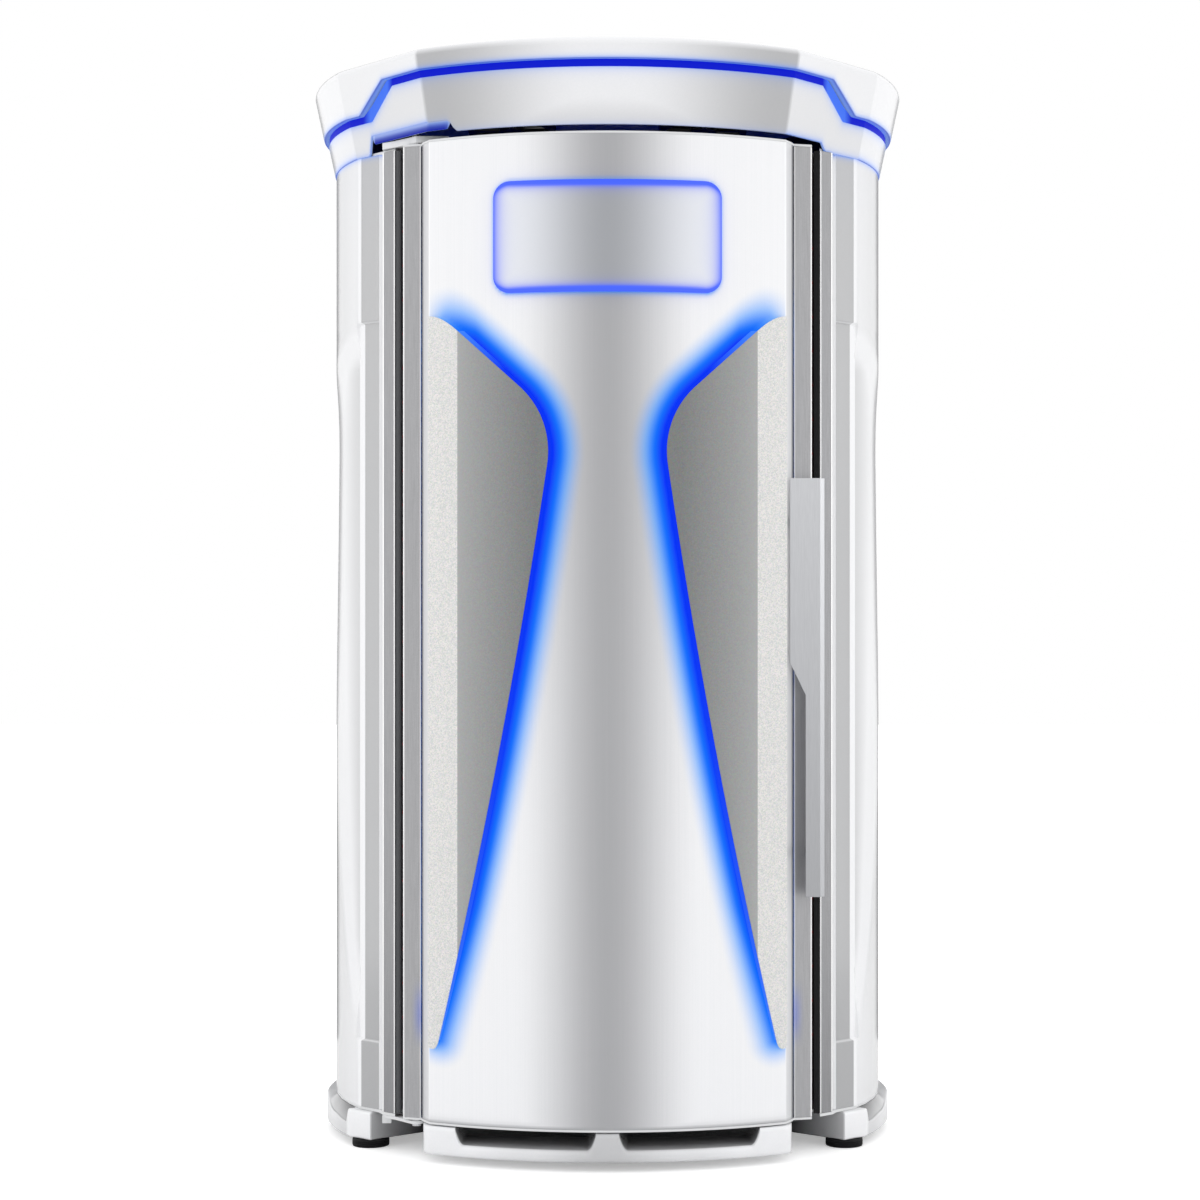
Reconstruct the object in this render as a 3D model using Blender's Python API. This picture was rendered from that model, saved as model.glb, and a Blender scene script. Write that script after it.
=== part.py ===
"""Stand-up red light therapy booth.

A round white cabin with one outward-opening front door. Metres, +Z up, the front faces -Y.
The origin is on the floor, at the centre of the round body.
"""
import math

import bmesh
import bpy
from mathutils import Matrix, Vector

for leftover in list(bpy.data.objects):
    bpy.data.objects.remove(leftover, do_unlink=True)

# Fits
SEAT = 0.0003            # gap between pieces that touch
PIVOT_PLAY = 0.0003      # pin to bore, on the radius
CUTTER_RUN = 0.010       # how far a cutter runs past the face it cuts
SMOOTH_ANGLE = 30.0      # edges sharper than this are shaded as edges

# Body and base
FOOT_HEIGHT = 0.018
FOOT_RADIUS = 0.040
FOOT_EDGE = 0.003
FOOT_FRONT_INSET = 0.042
FOOT_FRONT_TURN = 1.4     # degrees in front of the base's front corner
FOOT_REAR_INSET = 0.050
FOOT_REAR_ANGLE = 46.4
BASE_CURB = 0.020        # tray proud of the body
BASE_HEIGHT = 0.060
BASE_EDGE = 0.006        # rounded edges of the tray
TRAY_WALL = 0.030
TRAY_DECK = 0.008
BASE_BEHIND_POST = 0.078  # front wall of the tray behind the posts
BASE_ROOT_INSIDE = 0.0493  # where the wings leave the front wall, inside the posts
BASE_TIP_BESIDE = 0.0287  # inner tip of each front wing, outside the post
BASE_WING_INSET = 0.019
BASE_CORNER_BESIDE = 0.0748  # outer corner of each front wing
FRONT_DRAW = 1.3         # front wall's draw per inset
TIP_DRAW = (0.2, 1.6)    # wing tips' draw per inset, sideways and back
CURB_SCOOP_DEPTH = 0.030
DECK_THICKNESS = 0.006
DECK_INSET = 0.001       # deck inside the body surface
TREAD_THICKNESS = 0.010
TREAD_GAP = 0.004        # tread to the wall covers
TREAD_EDGE = 0.003
BODY_RADIUS = 0.610
BODY_HEIGHT = 2.0374
SHELL_WALL = 0.006
SHELL_SEAM = 0.0015      # joint between side shells and rear panel
SCOOP_DEPTH = 0.016
SCOOP_LIP = 0.006        # step of the scoop at the shell's front corner
SCOOP_BELOW_TOP = 0.352
SCOOP_ABOVE_BOTTOM = 0.1544
REAR_SEAM_ANGLE = 60.0   # degrees from +X
SHELL_CORNER_ANGLE = -29.3
FACET_BESIDE_POST = 0.010
FACET_SETBACK = 0.050    # shell's front edge behind the post's front
FLANGE_GAP = 0.0015      # shell's front flange to the post

# Doorway
DOOR_RADIUS = 0.750
DOOR_SETBACK = 0.019     # door front behind the body circle
DOOR_HALF_WIDTH = 0.3706
DOOR_SKIN = 0.003
SKIN_CORNER = 0.0036     # inside corner in from the edge
DOOR_RETURN = 0.0164     # sideways reach of the skin's slanted side return
RETURN_DEPTH = 0.033
STILE_GAP = 0.003
STILE_WIDTH = 0.039
STILE_DEPTH = 0.051
STILE_SLANT = 0.011
STILE_CHAMFER = 0.0015
DOOR_CAP = 0.005
DOOR_LIFT = 0.0027       # door bottom above the lower pivot bracket
DOOR_HEAD_ROOM = 0.0027   # door top below the upper pivot bracket
DOOR_DEPTH = 0.045       # skin front to inner panel
DOOR_PANEL = 0.003
DOOR_COVER_DEPTH = 0.027
LINING_MARGIN = 0.020    # door lining in from the frame's ends
DOOR_BOARD_INSET = 0.040
DOOR_COVER_INSET = 0.015
DOOR_SWING_ROOM = 0.012
POST_GAP = 0.0203        # stile to post
POST_WIDTH = 0.029
POST_DEPTH = 0.067
POST_SLANT = 0.026
POST_CHAMFER = 0.002
POST_SETBACK = 0.004     # post front behind the stile's back
PIVOT_IN_STILE = 0.0113  # pivot axis from the stile's inner side
PIVOT_BEHIND_FACE = 0.017
PIN_RADIUS = 0.006
BRACKET_THICKNESS = 0.006
BRACKET_NOSE = 0.015
NOSE_START = -130.0      # degrees round the arm's rounded end
NOSE_END = 60.0
BRACKET_SETBACK = 0.020
UPPER_BAR_LENGTH = 0.070
UPPER_BAR_THICKNESS = 0.014
LUG_WIDTH = 0.019        # mounting lug under the lower arm
LUG_DEPTH = 0.020
LUG_DROP = 0.011

# Door dressing
WING_BELOW_TOP = 0.3683
WING_ABOVE_BOTTOM = 0.158
WING_CREST_X = 0.3376
WING_CREST_DROP = 0.0066
WING_FOLD_X = 0.306
WING_FOLD_DROP = 0.0341
WING_SHOULDER_X = 0.1066
WING_SHOULDER_DROP = 0.2178
WING_SHOULDER_RADIUS = 0.181
WING_FLANK_LEAN = 0.1465  # sideways per downward, below the shoulder
WING_TIP_X = 0.347
WING_EDGE = 0.006        # wing thickness at the door's edge
WING_FOLD_RISE = 0.009   # wing thickness at the fold
WING_SLOPE = 0.045
WING_SHEET = 0.0025
WING_SIDE_INSET = 0.0005
WING_TOP_WIDTH = 0.004
WING_TIP_WIDTH = 0.012
WING_TIP_ROUND = 0.0186
GUIDE_REBATE = 0.014     # how far the light guide runs under the wing
REBATE_WALL = 0.002
REBATE_SHARE = 0.1       # rebate wall as a share of a narrow wing
GUIDE_GAP = 0.001        # guide to the rebate wall
GUIDE_REACH = 0.007      # how far it shows beside the wing
SIGN_WIDTH = 0.463
SIGN_HEIGHT = 0.229
SIGN_BELOW_TOP = 0.215   # door top to the plate's middle
SIGN_CORNER = 0.028
SIGN_PLATE = 0.004
SIGN_LIGHT = 0.005
SIGN_LIGHT_WIDTH = 0.010
SIGN_LIGHT_INSET = 0.002
HANDLE_RAISE = 0.4713    # handle bottom above the door's bottom
HANDLE_LENGTH = 0.871
HANDLE_STEP_LOW = 0.420  # where the wide upper part starts and ends to taper, above the handle's bottom
HANDLE_STEP_HIGH = 0.488
HANDLE_OVER_PANEL = 0.011
HANDLE_NARROWING = 0.033
HANDLE_OVERHANG = 0.023
HANDLE_PLATE = 0.006
HANDLE_STANDOFF = 0.036
HANDLE_BEND = 0.012      # fall of the bent right edge
HANDLE_BEVEL = 0.010     # width of the bent edge
HANDLE_POST_RADIUS = 0.009
HANDLE_POST_FROM_END = 0.090
HANDLE_POST_INSET = 0.002
HANDLE_POST_BITE = 0.002
HANDLE_POST_SIDES = 16

# Sill
SILL_BEYOND_DOOR = 0.0134
SILL_PROUD = 0.006
SILL_NOTCH_FLOOR = 0.026  # above the sill's bottom
SILL_RIB = 0.047
SILL_END_BLOCK = 0.069
SILL_NOTCH_DEPTH = 0.230
SILL_NOTCH_SLANT = 0.012

# Canopy
CANOPY_LAP = 0.002       # canopy bottom edge proud of the body
CANOPY_HEIGHT = 0.1876
CANOPY_FLAT = 0.0206     # how far front and back are flattened
FACET_BACK_ANGLE = -27.7
FACET_FRONT_ANGLE = -52.5
CANOPY_FLARE = 0.2125    # outward per upward
COVE_OVERHANG = 0.0078
CANOPY_WALL = 0.006
CANOPY_ROUND = 0.015
CANOPY_FLANGE = 0.100
CANOPY_LIP = 0.020
GROOVE_HEIGHT = 0.015
GROOVE_FRONT_DROP = 0.051  # groove centre below the top, across the front
GROOVE_SIDE_DROP = 0.112   # and round the sides
STRIP_DEPTH = 0.014
STRIP_RECESS = 0.001     # strip behind the shell's outer face
DOOR_ARCH = 0.0167       # lower edge raised over the door
PIVOT_NOTCH = 0.0397     # raised further over the pivot
ARCH_RAMP = 0.012
ARCH_BEYOND_POST = 0.013
NOTCH_BEYOND_POST = 0.031
NOTCH_PAST_PIVOT = 0.076
CEILING_THICKNESS = 0.006
CEILING_INSET = 0.001    # ceiling plate inside the lower shell
ROOF_LAP = 0.020         # roof cover under the flange
ROOF_THICKNESS = 0.006

# Inside
WALL_CAVITY = 0.070      # body surface to the wall boards' long edges
BOARD_FIRST_ANGLE = -20.0
BOARD_COUNT = 6
BOARD_THICKNESS = 0.003
BOARD_GAP = 0.004
COVER_GAP = 0.0077       # wall board to its clear cover
COVER_THICKNESS = 0.003
COVER_JOINT = 0.6        # degrees between two covers
REAR_POST_SIZE = 0.036
REAR_POST_GAP = 0.006    # rear post to the shells' inside
FAN_SIZE = 0.200
FAN_HEIGHT = 0.040
FAN_BORE = 0.090
FAN_BASE = 0.006
FAN_TIP_GAP = 0.003
FAN_HUB = 0.030
FAN_BLADES = 7
FAN_LEDGE = 0.003        # window edge inside the bore
FAN_OFFSET_X = 0.220
FAN_OFFSET_Y = 0.100
DRIVER_LENGTH = 0.240
DRIVER_WIDTH = 0.080
DRIVER_HEIGHT = 0.045
CONTROL_WIDTH = 0.090
CONTROL_HEIGHT = 0.200
CONTROL_DEPTH = 0.065
CONTROL_CENTRE = 1.150
CONTROL_INSET = 0.008
BUTTON_RADIUS = 0.016
BUTTON_HEAD = 0.010
BUTTON_STEM_RADIUS = 0.007
BUTTON_STEM = 0.024
BUTTON_TRAVEL = 0.004
BUTTON_REST_GAP = 0.006
BUTTON_EDGE = 0.003
BUTTON_END_GAP = 0.002
SEAL_RADIUS = 0.007
LATCH_SEAL_WIDTH = 0.013
LATCH_SEAL_SETBACK = 0.002
LATCH_SEAL_DEPTH = 0.010
CATCH_HEIGHT = 0.060
CATCH_GAP = 0.001
CATCH_INSET = 0.010
CATCH_SEAL_GAP = 0.001
CATCH_DEPTH = 0.025
STRIKE_MARGIN = 0.004
STRIKE_THICKNESS = 0.002
GLAND_RADIUS = 0.014
GLAND_FLANGE = 0.006
GLAND_REACH = 0.012
GLAND_LEVEL = 0.120      # above the body's bottom
GLAND_SIDES = 24

# Levels worked out from the sizes above
base_top = FOOT_HEIGHT + BASE_HEIGHT
deck_bottom = base_top + SEAT
deck_top = deck_bottom + DECK_THICKNESS
body_bottom = deck_top + SEAT
body_top = body_bottom + BODY_HEIGHT
ceiling_bottom = body_top + SEAT
ceiling_top = ceiling_bottom + CEILING_THICKNESS
canopy_bottom = body_top + SEAT
canopy_top = canopy_bottom + CANOPY_HEIGHT
tread_top = body_bottom + TREAD_THICKNESS
door_bottom = base_top + DOOR_LIFT
door_top = ceiling_top + SEAT - DOOR_HEAD_ROOM
door_frame_bottom = door_bottom + DOOR_CAP + SEAT
door_frame_top = door_top - DOOR_CAP - SEAT
roof_top = canopy_top - CANOPY_WALL - SEAT
roof_bottom = roof_top - ROOF_THICKNESS

# Plan positions worked out from the sizes above
door_front_y = -(BODY_RADIUS - DOOR_SETBACK)
door_centre_y = door_front_y + DOOR_RADIUS
door_edge_y = door_centre_y - math.sqrt(DOOR_RADIUS ** 2 - DOOR_HALF_WIDTH ** 2)
return_x = DOOR_HALF_WIDTH + DOOR_RETURN
return_y = door_edge_y + RETURN_DEPTH
stile_inner_x = return_x + STILE_GAP
stile_outer_x = stile_inner_x + STILE_WIDTH
stile_front_y = return_y + 4 * STILE_GAP
stile_back_y = stile_front_y + STILE_DEPTH
post_inner_x = stile_outer_x + POST_GAP
post_outer_x = post_inner_x + POST_WIDTH
post_front_y = stile_back_y + POST_SETBACK
post_back_y = post_front_y + POST_DEPTH
pivot_x = -(stile_inner_x + PIVOT_IN_STILE)
pivot_y = stile_front_y + PIVOT_BEHIND_FACE

# Finishes as colour, roughness, metallic, alpha
WHITE_GLOSS = ((0.84, 0.85, 0.86), 0.28, 0.0, 1.0)
PEARL_WHITE = ((0.78, 0.79, 0.80), 0.30, 0.25, 1.0)
SATIN_ALUMINIUM = ((0.50, 0.50, 0.50), 0.40, 0.9, 1.0)
SILVER_FILM = ((0.56, 0.56, 0.57), 0.50, 0.4, 1.0)
BLUE_LIGHT = ((0.01, 0.05, 0.90), 0.40, 0.0, 1.0)
FROSTED_ACRYLIC = ((0.80, 0.84, 0.95), 0.35, 0.0, 1.0)
CLEAR_ACRYLIC = ((0.90, 0.90, 0.92), 0.10, 0.0, 0.3)
BLACK_RUBBER = ((0.02, 0.02, 0.02), 0.75, 0.0, 1.0)
GREY_RUBBER = ((0.10, 0.10, 0.10), 0.65, 0.0, 1.0)
PAINTED_STEEL = ((0.42, 0.43, 0.44), 0.50, 0.6, 1.0)
WHITE_STEEL = ((0.80, 0.80, 0.80), 0.40, 0.3, 1.0)
BRIGHT_STEEL = ((0.62, 0.62, 0.63), 0.25, 1.0, 1.0)
BOARD_WHITE = ((0.72, 0.72, 0.70), 0.55, 0.0, 1.0)
BLACK_PLASTIC = ((0.03, 0.03, 0.03), 0.45, 0.0, 1.0)
GREY_PLASTIC = ((0.55, 0.56, 0.57), 0.45, 0.0, 1.0)
RED_PLASTIC = ((0.60, 0.02, 0.02), 0.35, 0.0, 1.0)


def polar(radius, degrees):
    """Plan point at an angle from +X."""
    angle = math.radians(degrees)
    return (radius * math.cos(angle), radius * math.sin(angle))


def arc(radius, start, end, steps, centre=(0.0, 0.0)):
    """Plan points along an arc, both ends included."""
    points = []
    for step in range(steps + 1):
        x, y = polar(radius, start + (end - start) * step / steps)
        points.append((centre[0] + x, centre[1] + y))
    return points


def mirrored(points):
    """The left-hand copy of a right-hand plan outline, in the same turning direction."""
    return [(-x, y) for x, y in reversed(points)]


def prism(outline, bottom, top):
    """A plan outline raised between two levels."""
    count = len(outline)
    vertices = [(x, y, bottom) for x, y in outline] + [(x, y, top) for x, y in outline]
    faces = [tuple(range(count)), tuple(range(count, 2 * count))]
    for i in range(count):
        j = (i + 1) % count
        faces.append((i, j, count + j, count + i))
    return vertices, faces


def sweep(sections, closed):
    """A skin over a row of equal cross-sections, either a closed ring or a run with flat ends."""
    count = len(sections[0])
    vertices = [point for section in sections for point in section]
    faces = []
    last = len(sections) if closed else len(sections) - 1
    for s in range(last):
        a = s * count
        b = ((s + 1) % len(sections)) * count
        for i in range(count):
            j = (i + 1) % count
            faces.append((a + i, a + j, b + j, b + i))
    if not closed:
        faces.append(tuple(range(count)))
        faces.append(tuple(range(len(vertices) - count, len(vertices))))
    return vertices, faces


def slab(front, back):
    """A sheet with two faces, each given as rows of points."""
    rows = len(front)
    columns = len(front[0])
    vertices = [p for row in front for p in row] + [p for row in back for p in row]
    behind = rows * columns
    faces = []
    for r in range(rows - 1):
        for c in range(columns - 1):
            a = r * columns + c
            quad = (a, a + 1, a + columns + 1, a + columns)
            faces.append(quad)
            faces.append(tuple(i + behind for i in quad))
    rim = [c for c in range(columns)]
    rim += [r * columns + columns - 1 for r in range(1, rows)]
    rim += [(rows - 1) * columns + c for c in range(columns - 2, -1, -1)]
    rim += [r * columns for r in range(rows - 2, 0, -1)]
    for i, a in enumerate(rim):
        b = rim[(i + 1) % len(rim)]
        faces.append((a, b, b + behind, a + behind))
    return vertices, faces


def turned(profile, centre, sides=24, axis="Z"):
    """A round piece from (radius, height) pairs, its ends closed flat."""
    sections = []
    for radius, height in profile:
        ring = []
        for x, y in arc(radius, 0.0, 360.0 - 360.0 / sides, sides - 1):
            place = (x, y, height) if axis == "Z" else (height, x, y)
            ring.append(tuple(c + p for c, p in zip(centre, place)))
        sections.append(ring)
    return sweep(sections, closed=False)


def box(low, high):
    """An upright block between two corners."""
    outline = [(low[0], low[1]), (high[0], low[1]), (high[0], high[1]), (low[0], high[1])]
    return prism(outline, low[2], high[2])


def finish_material(name, finish):
    """One Principled material for one piece."""
    colour, roughness, metallic, alpha = finish
    material = bpy.data.materials.new(name + "_finish")
    material.use_nodes = True
    shader = material.node_tree.nodes["Principled BSDF"]
    shader.inputs["Base Color"].default_value = (*colour, 1.0)
    shader.inputs["Roughness"].default_value = roughness
    shader.inputs["Metallic"].default_value = metallic
    shader.inputs["Alpha"].default_value = alpha
    return material


def add_piece(name, shape, finish, pivot=None):
    """Make one sub-part from a shape in world coordinates, hung on its pivot if it moves."""
    vertices, faces = shape
    mesh = bpy.data.meshes.new(name)
    mesh.from_pydata(vertices, [], faces)
    work = bmesh.new()
    work.from_mesh(mesh)
    bmesh.ops.recalc_face_normals(work, faces=work.faces[:])
    work.to_mesh(mesh)
    work.free()
    mesh.shade_smooth()
    mesh.set_sharp_from_angle(angle=math.radians(SMOOTH_ANGLE))
    piece = bpy.data.objects.new(name, mesh)
    bpy.context.scene.collection.objects.link(piece)
    mesh.materials.append(finish_material(name, finish))
    if pivot is not None:
        piece.parent = pivot
        piece.location = -pivot.location
    return piece


def add_pivot(name, place):
    """An empty on a joint's axis, which carries the pieces that move about it."""
    empty = bpy.data.objects.new(name, None)
    empty.location = place
    bpy.context.scene.collection.objects.link(empty)
    return empty


def add_cutter(name, shape):
    """A hidden shape that only cuts other pieces."""
    cutter = add_piece(name, shape, BLACK_PLASTIC)
    cutter.hide_render = True
    cutter.display_type = "WIRE"
    return cutter


def cut(piece, cutter):
    """Take a cutter's shape out of a piece."""
    modifier = piece.modifiers.new("cut_" + cutter.name, "BOOLEAN")
    modifier.operation = "DIFFERENCE"
    modifier.object = cutter


def fuse(piece, other):
    """Join a hidden shape onto a piece, as one body."""
    modifier = piece.modifiers.new("fuse_" + other.name, "BOOLEAN")
    modifier.operation = "UNION"
    modifier.object = other


def prism_y(outline, front, back):
    """An upright (x, z) outline run from front to back."""
    count = len(outline)
    vertices = [(x, front, z) for x, z in outline] + [(x, back, z) for x, z in outline]
    return vertices, prism(outline, 0.0, 1.0)[1]


def chamfered(outline, size):
    """A plan outline with each corner cut back by the same length along both sides."""
    points = []
    for i, here in enumerate(outline):
        for other in (outline[i - 1], outline[(i + 1) % len(outline)]):
            span = Vector(other) - Vector(here)
            points.append(tuple(Vector(here) + span.normalized() * size))
    return points


def interpolate(x, knots):
    """Straight-line value between (x, value) knots, held flat beyond the ends."""
    if x <= knots[0][0]:
        return knots[0][1]
    for (x0, v0), (x1, v1) in zip(knots, knots[1:]):
        if x <= x1:
            return v0 + (v1 - v0) * (x - x0) / (x1 - x0)
    return knots[-1][1]


def door_arc(radius, x_from, x_to, steps):
    """Plan points on a circle about the door skin's centre, between two sideways places."""
    start = math.degrees(math.asin(x_from / radius)) - 90.0
    end = math.degrees(math.asin(x_to / radius)) - 90.0
    return arc(radius, start, end, steps, (0.0, door_centre_y))


def both_sides(half):
    """A closed plan outline from its right half, which starts and ends on the middle line."""
    return half + mirrored(half)[1:-1]


# Base tray: a moulded pan, open below, with two front wings and a scooped curb
base_radius = BODY_RADIUS + BASE_CURB
base_front_y = post_back_y + BASE_BEHIND_POST
base_corner_x = post_outer_x + BASE_CORNER_BESIDE
base_corner = Vector((base_corner_x, -math.sqrt(base_radius ** 2 - base_corner_x ** 2)))
base_tip_x = post_outer_x + BASE_TIP_BESIDE
base_tip = Vector((base_tip_x, -math.sqrt((base_radius - BASE_WING_INSET) ** 2 - base_tip_x ** 2)))
corner_angle = math.degrees(math.atan2(base_corner.y, base_corner.x))
# degrees from the front corner, and the share of the scoop's depth there
CURB_KNOTS = [(1.2, 0.0), (2.3, 1.0), (6.0, 0.95), (12.0, 0.75), (20.0, 0.35), (26.0, 0.0)]
CURB_STEPS = (1.2, 2.3, 6.0, 9.0, 12.0, 16.0, 20.0, 23.0, 26.0)
CURB_ANGLES = [corner_angle + step for step in CURB_STEPS]
REAR_CURB_START = 8.0
REAR_CURB_STEPS = 10
rear_curb_step = (90.0 - REAR_CURB_START) / REAR_CURB_STEPS
CURB_ANGLES += [REAR_CURB_START + rear_curb_step * i for i in range(REAR_CURB_STEPS + 1)]


def base_outline(inset):
    """The tray's plan, drawn in by an inset."""
    front = base_front_y + FRONT_DRAW * inset
    half = [(0.0, front), (post_inner_x - BASE_ROOT_INSIDE, front)]
    half.append((base_tip.x - TIP_DRAW[0] * inset, base_tip.y + TIP_DRAW[1] * inset))
    along = (base_corner - base_tip).normalized()
    start = base_tip + Vector((-along.y, along.x)) * inset
    reach = start.dot(along)
    run = math.sqrt(reach ** 2 - start.length_squared + (base_radius - inset) ** 2) - reach
    half.append(tuple(start + along * run))
    half += [polar(base_radius - inset, angle) for angle in CURB_ANGLES]
    half[-1] = (0.0, base_radius - inset)
    return both_sides(half)


def curb_drop(point):
    """How far the curb is scooped down at a plan point."""
    angle = math.degrees(math.atan2(point[1], abs(point[0])))
    return CURB_SCOOP_DEPTH * interpolate(angle - corner_angle, CURB_KNOTS)


rim = base_outline(0.0)
tray_rings = []
for inset, level, follows_scoop in (
    (TRAY_WALL, base_top - TRAY_DECK, False),
    (TRAY_WALL, FOOT_HEIGHT, False),
    (BASE_EDGE, FOOT_HEIGHT, False),
    (0.0, FOOT_HEIGHT + BASE_EDGE, False),
    (0.0, base_top - BASE_EDGE, True),
    (BASE_EDGE, base_top, True),
    (BASE_CURB, base_top, False),
):
    ring = []
    for (x, y), outer in zip(base_outline(inset), rim):
        drop = curb_drop(outer) if follows_scoop else 0.0
        ring.append((x, y, level - drop))
    tray_rings.append(ring)
add_piece("base_tray", sweep(tray_rings, closed=False), WHITE_GLOSS)

# Rubber feet under the tray's rim
foot_front = polar(base_radius - FOOT_FRONT_INSET, corner_angle - FOOT_FRONT_TURN)
foot_rear = polar(base_radius - FOOT_REAR_INSET, FOOT_REAR_ANGLE)
foot_waist = FOOT_RADIUS - FOOT_EDGE
foot_profile = [(foot_waist, 0.0), (FOOT_RADIUS, FOOT_EDGE)]
foot_profile += [(FOOT_RADIUS, FOOT_HEIGHT - 2.0 * FOOT_EDGE), (foot_waist, FOOT_HEIGHT - SEAT)]
for place, (x, y) in (("front", foot_front), ("rear", foot_rear)):
    for side, sign in (("left", -1.0), ("right", 1.0)):
        add_piece(f"foot_{place}_{side}", turned(foot_profile, (sign * x, y, 0.0)), BLACK_RUBBER)

# Front sill: a curved threshold with two air notches and a middle rib
sill_radius = DOOR_RADIUS + SILL_PROUD
sill_half_width = DOOR_HALF_WIDTH + SILL_BEYOND_DOOR
sill_half = door_arc(sill_radius, 0.0, sill_half_width, 10)
sill_half += [(sill_half_width, base_front_y - SEAT), (0.0, base_front_y - SEAT)]
sill = add_piece("front_sill", prism(both_sides(sill_half), FOOT_HEIGHT, base_top), WHITE_GLOSS)
notch_floor = FOOT_HEIGHT + SILL_NOTCH_FLOOR
notch_in = 0.5 * SILL_RIB
notch_out = sill_half_width - SILL_END_BLOCK
sill_front_y = door_centre_y - sill_radius
above_sill = base_top + CUTTER_RUN
for side, sign in (("left", -1.0), ("right", 1.0)):
    notch = [(sign * (notch_in + SILL_NOTCH_SLANT), notch_floor)]
    notch += [(sign * (notch_out - SILL_NOTCH_SLANT), notch_floor)]
    notch += [(sign * notch_out, above_sill), (sign * notch_in, above_sill)]
    shape = prism_y(notch, sill_front_y - CUTTER_RUN, sill_front_y + SILL_NOTCH_DEPTH)
    cut(sill, add_cutter("sill_notch_" + side, shape))

# Floor deck and tread: steel plate that carries posts and shells, and the standing plate on it
shell_corner = polar(BODY_RADIUS, SHELL_CORNER_ANGLE)
facet_inner = (post_outer_x + FACET_BESIDE_POST, post_front_y + FACET_SETBACK)
inner_reach = DOOR_DEPTH + DOOR_PANEL + DOOR_COVER_DEPTH + DOOR_SWING_ROOM
doorway_radius = DOOR_RADIUS - inner_reach
deck_half = door_arc(doorway_radius, 0.0, post_inner_x, 8)
deck_half += [(post_inner_x, post_front_y), (post_outer_x, post_front_y + POST_SLANT), facet_inner]
deck_half += arc(BODY_RADIUS - DECK_INSET, SHELL_CORNER_ANGLE, 90.0, 18)
add_piece("floor_deck", prism(both_sides(deck_half), deck_bottom, deck_top), WHITE_STEEL)
board_ring = BODY_RADIUS - WALL_CAVITY
board_span = (180.0 - 2.0 * BOARD_FIRST_ANGLE) / BOARD_COUNT
cover_radius = board_ring * math.cos(math.radians(0.5 * board_span)) - COVER_GAP
tread_radius = cover_radius - COVER_THICKNESS - TREAD_GAP
tread_profile = [(tread_radius, body_bottom), (tread_radius, tread_top - TREAD_EDGE)]
tread_profile += [(tread_radius - TREAD_EDGE, tread_top)]
add_piece("tread_plate", turned(tread_profile, (0.0, 0.0, 0.0), 48), PAINTED_STEEL)

# Side shells: moulded skins with a front facet and a leaf-shaped scoop behind it
scoop_top = body_top - SCOOP_BELOW_TOP
scoop_bottom = body_bottom + SCOOP_ABOVE_BOTTOM
scoop_height = scoop_top - scoop_bottom
SCOOP_SHARES = [0.0, 0.045, 0.14, 0.27, 0.415, 0.56, 0.70, 0.825, 0.89, 0.945, 0.98, 1.0]
SCOOP_REAR = [
    (0.0, -26.0), (0.14, -19.5), (0.415, -6.0), (0.70, 5.0), (0.825, 8.0),
    (0.89, 5.0), (0.945, -6.0), (0.98, -17.0), (1.0, -26.0),
]
SCOOP_FADE = [(0.0, 0.0), (0.045, 0.6), (0.14, 1.0), (0.945, 1.0), (0.98, 0.7), (1.0, 0.0)]
SCOOP_BAND = 1.9         # degrees of flat band behind the front corner
BAND_ROUND = 0.4         # degrees of the band's rounding into the scoop
SCOOP_ACROSS = [(0.0, 1.0), (0.35, 0.85), (0.7, 0.35), (1.0, 0.0)]
PLAIN_COLUMNS = 5


def shell_row(level):
    """Outer plan points of a side shell at one level, from its front flange round to the rear seam."""
    share = (level - scoop_bottom) / scoop_height
    inside = 0.0 <= share <= 1.0
    fade = interpolate(share, SCOOP_FADE) if inside else 0.0
    rear = interpolate(share, SCOOP_REAR)
    lip = SCOOP_LIP * fade
    facet_run = Vector(shell_corner) - Vector(facet_inner)
    shortened = facet_run.length - lip
    corner = Vector(facet_inner) + facet_run.normalized() * shortened
    points = [(post_outer_x + FLANGE_GAP, facet_inner[1]), facet_inner, tuple(corner)]
    band_end = SHELL_CORNER_ANGLE + SCOOP_BAND
    points.append(polar(BODY_RADIUS - lip, band_end - BAND_ROUND))
    for across, depth in SCOOP_ACROSS:
        angle = band_end + (rear - band_end) * across
        points.append(polar(BODY_RADIUS - SCOOP_DEPTH * fade * depth, angle))
    seam = REAR_SEAM_ANGLE - math.degrees(0.5 * SHELL_SEAM / BODY_RADIUS)
    for column in range(1, PLAIN_COLUMNS + 1):
        points.append(polar(BODY_RADIUS, rear + (seam - rear) * column / PLAIN_COLUMNS))
    return points


def drawn_in(points, wall):
    """The same row of plan points moved inwards by the wall."""
    inner = []
    for i, here in enumerate(points):
        before = Vector(points[max(i - 1, 0)])
        after = Vector(points[min(i + 1, len(points) - 1)])
        along = (after - before).normalized()
        inner.append((here[0] - along.y * wall, here[1] + along.x * wall))
    return inner


shell_levels = [body_bottom] + [scoop_bottom + scoop_height * share for share in SCOOP_SHARES] + [body_top]
shell_outer = []
shell_inner = []
for level in shell_levels:
    row = shell_row(level)
    shell_outer.append([(x, y, level) for x, y in row])
    shell_inner.append([(x, y, level) for x, y in drawn_in(row, SHELL_WALL)])
add_piece("side_shell_right", slab(shell_outer, shell_inner), WHITE_GLOSS)
shell_outer_left = [[(-x, y, z) for x, y, z in row] for row in shell_outer]
shell_inner_left = [[(-x, y, z) for x, y, z in row] for row in shell_inner]
add_piece("side_shell_left", slab(shell_outer_left, shell_inner_left), WHITE_GLOSS)

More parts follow.
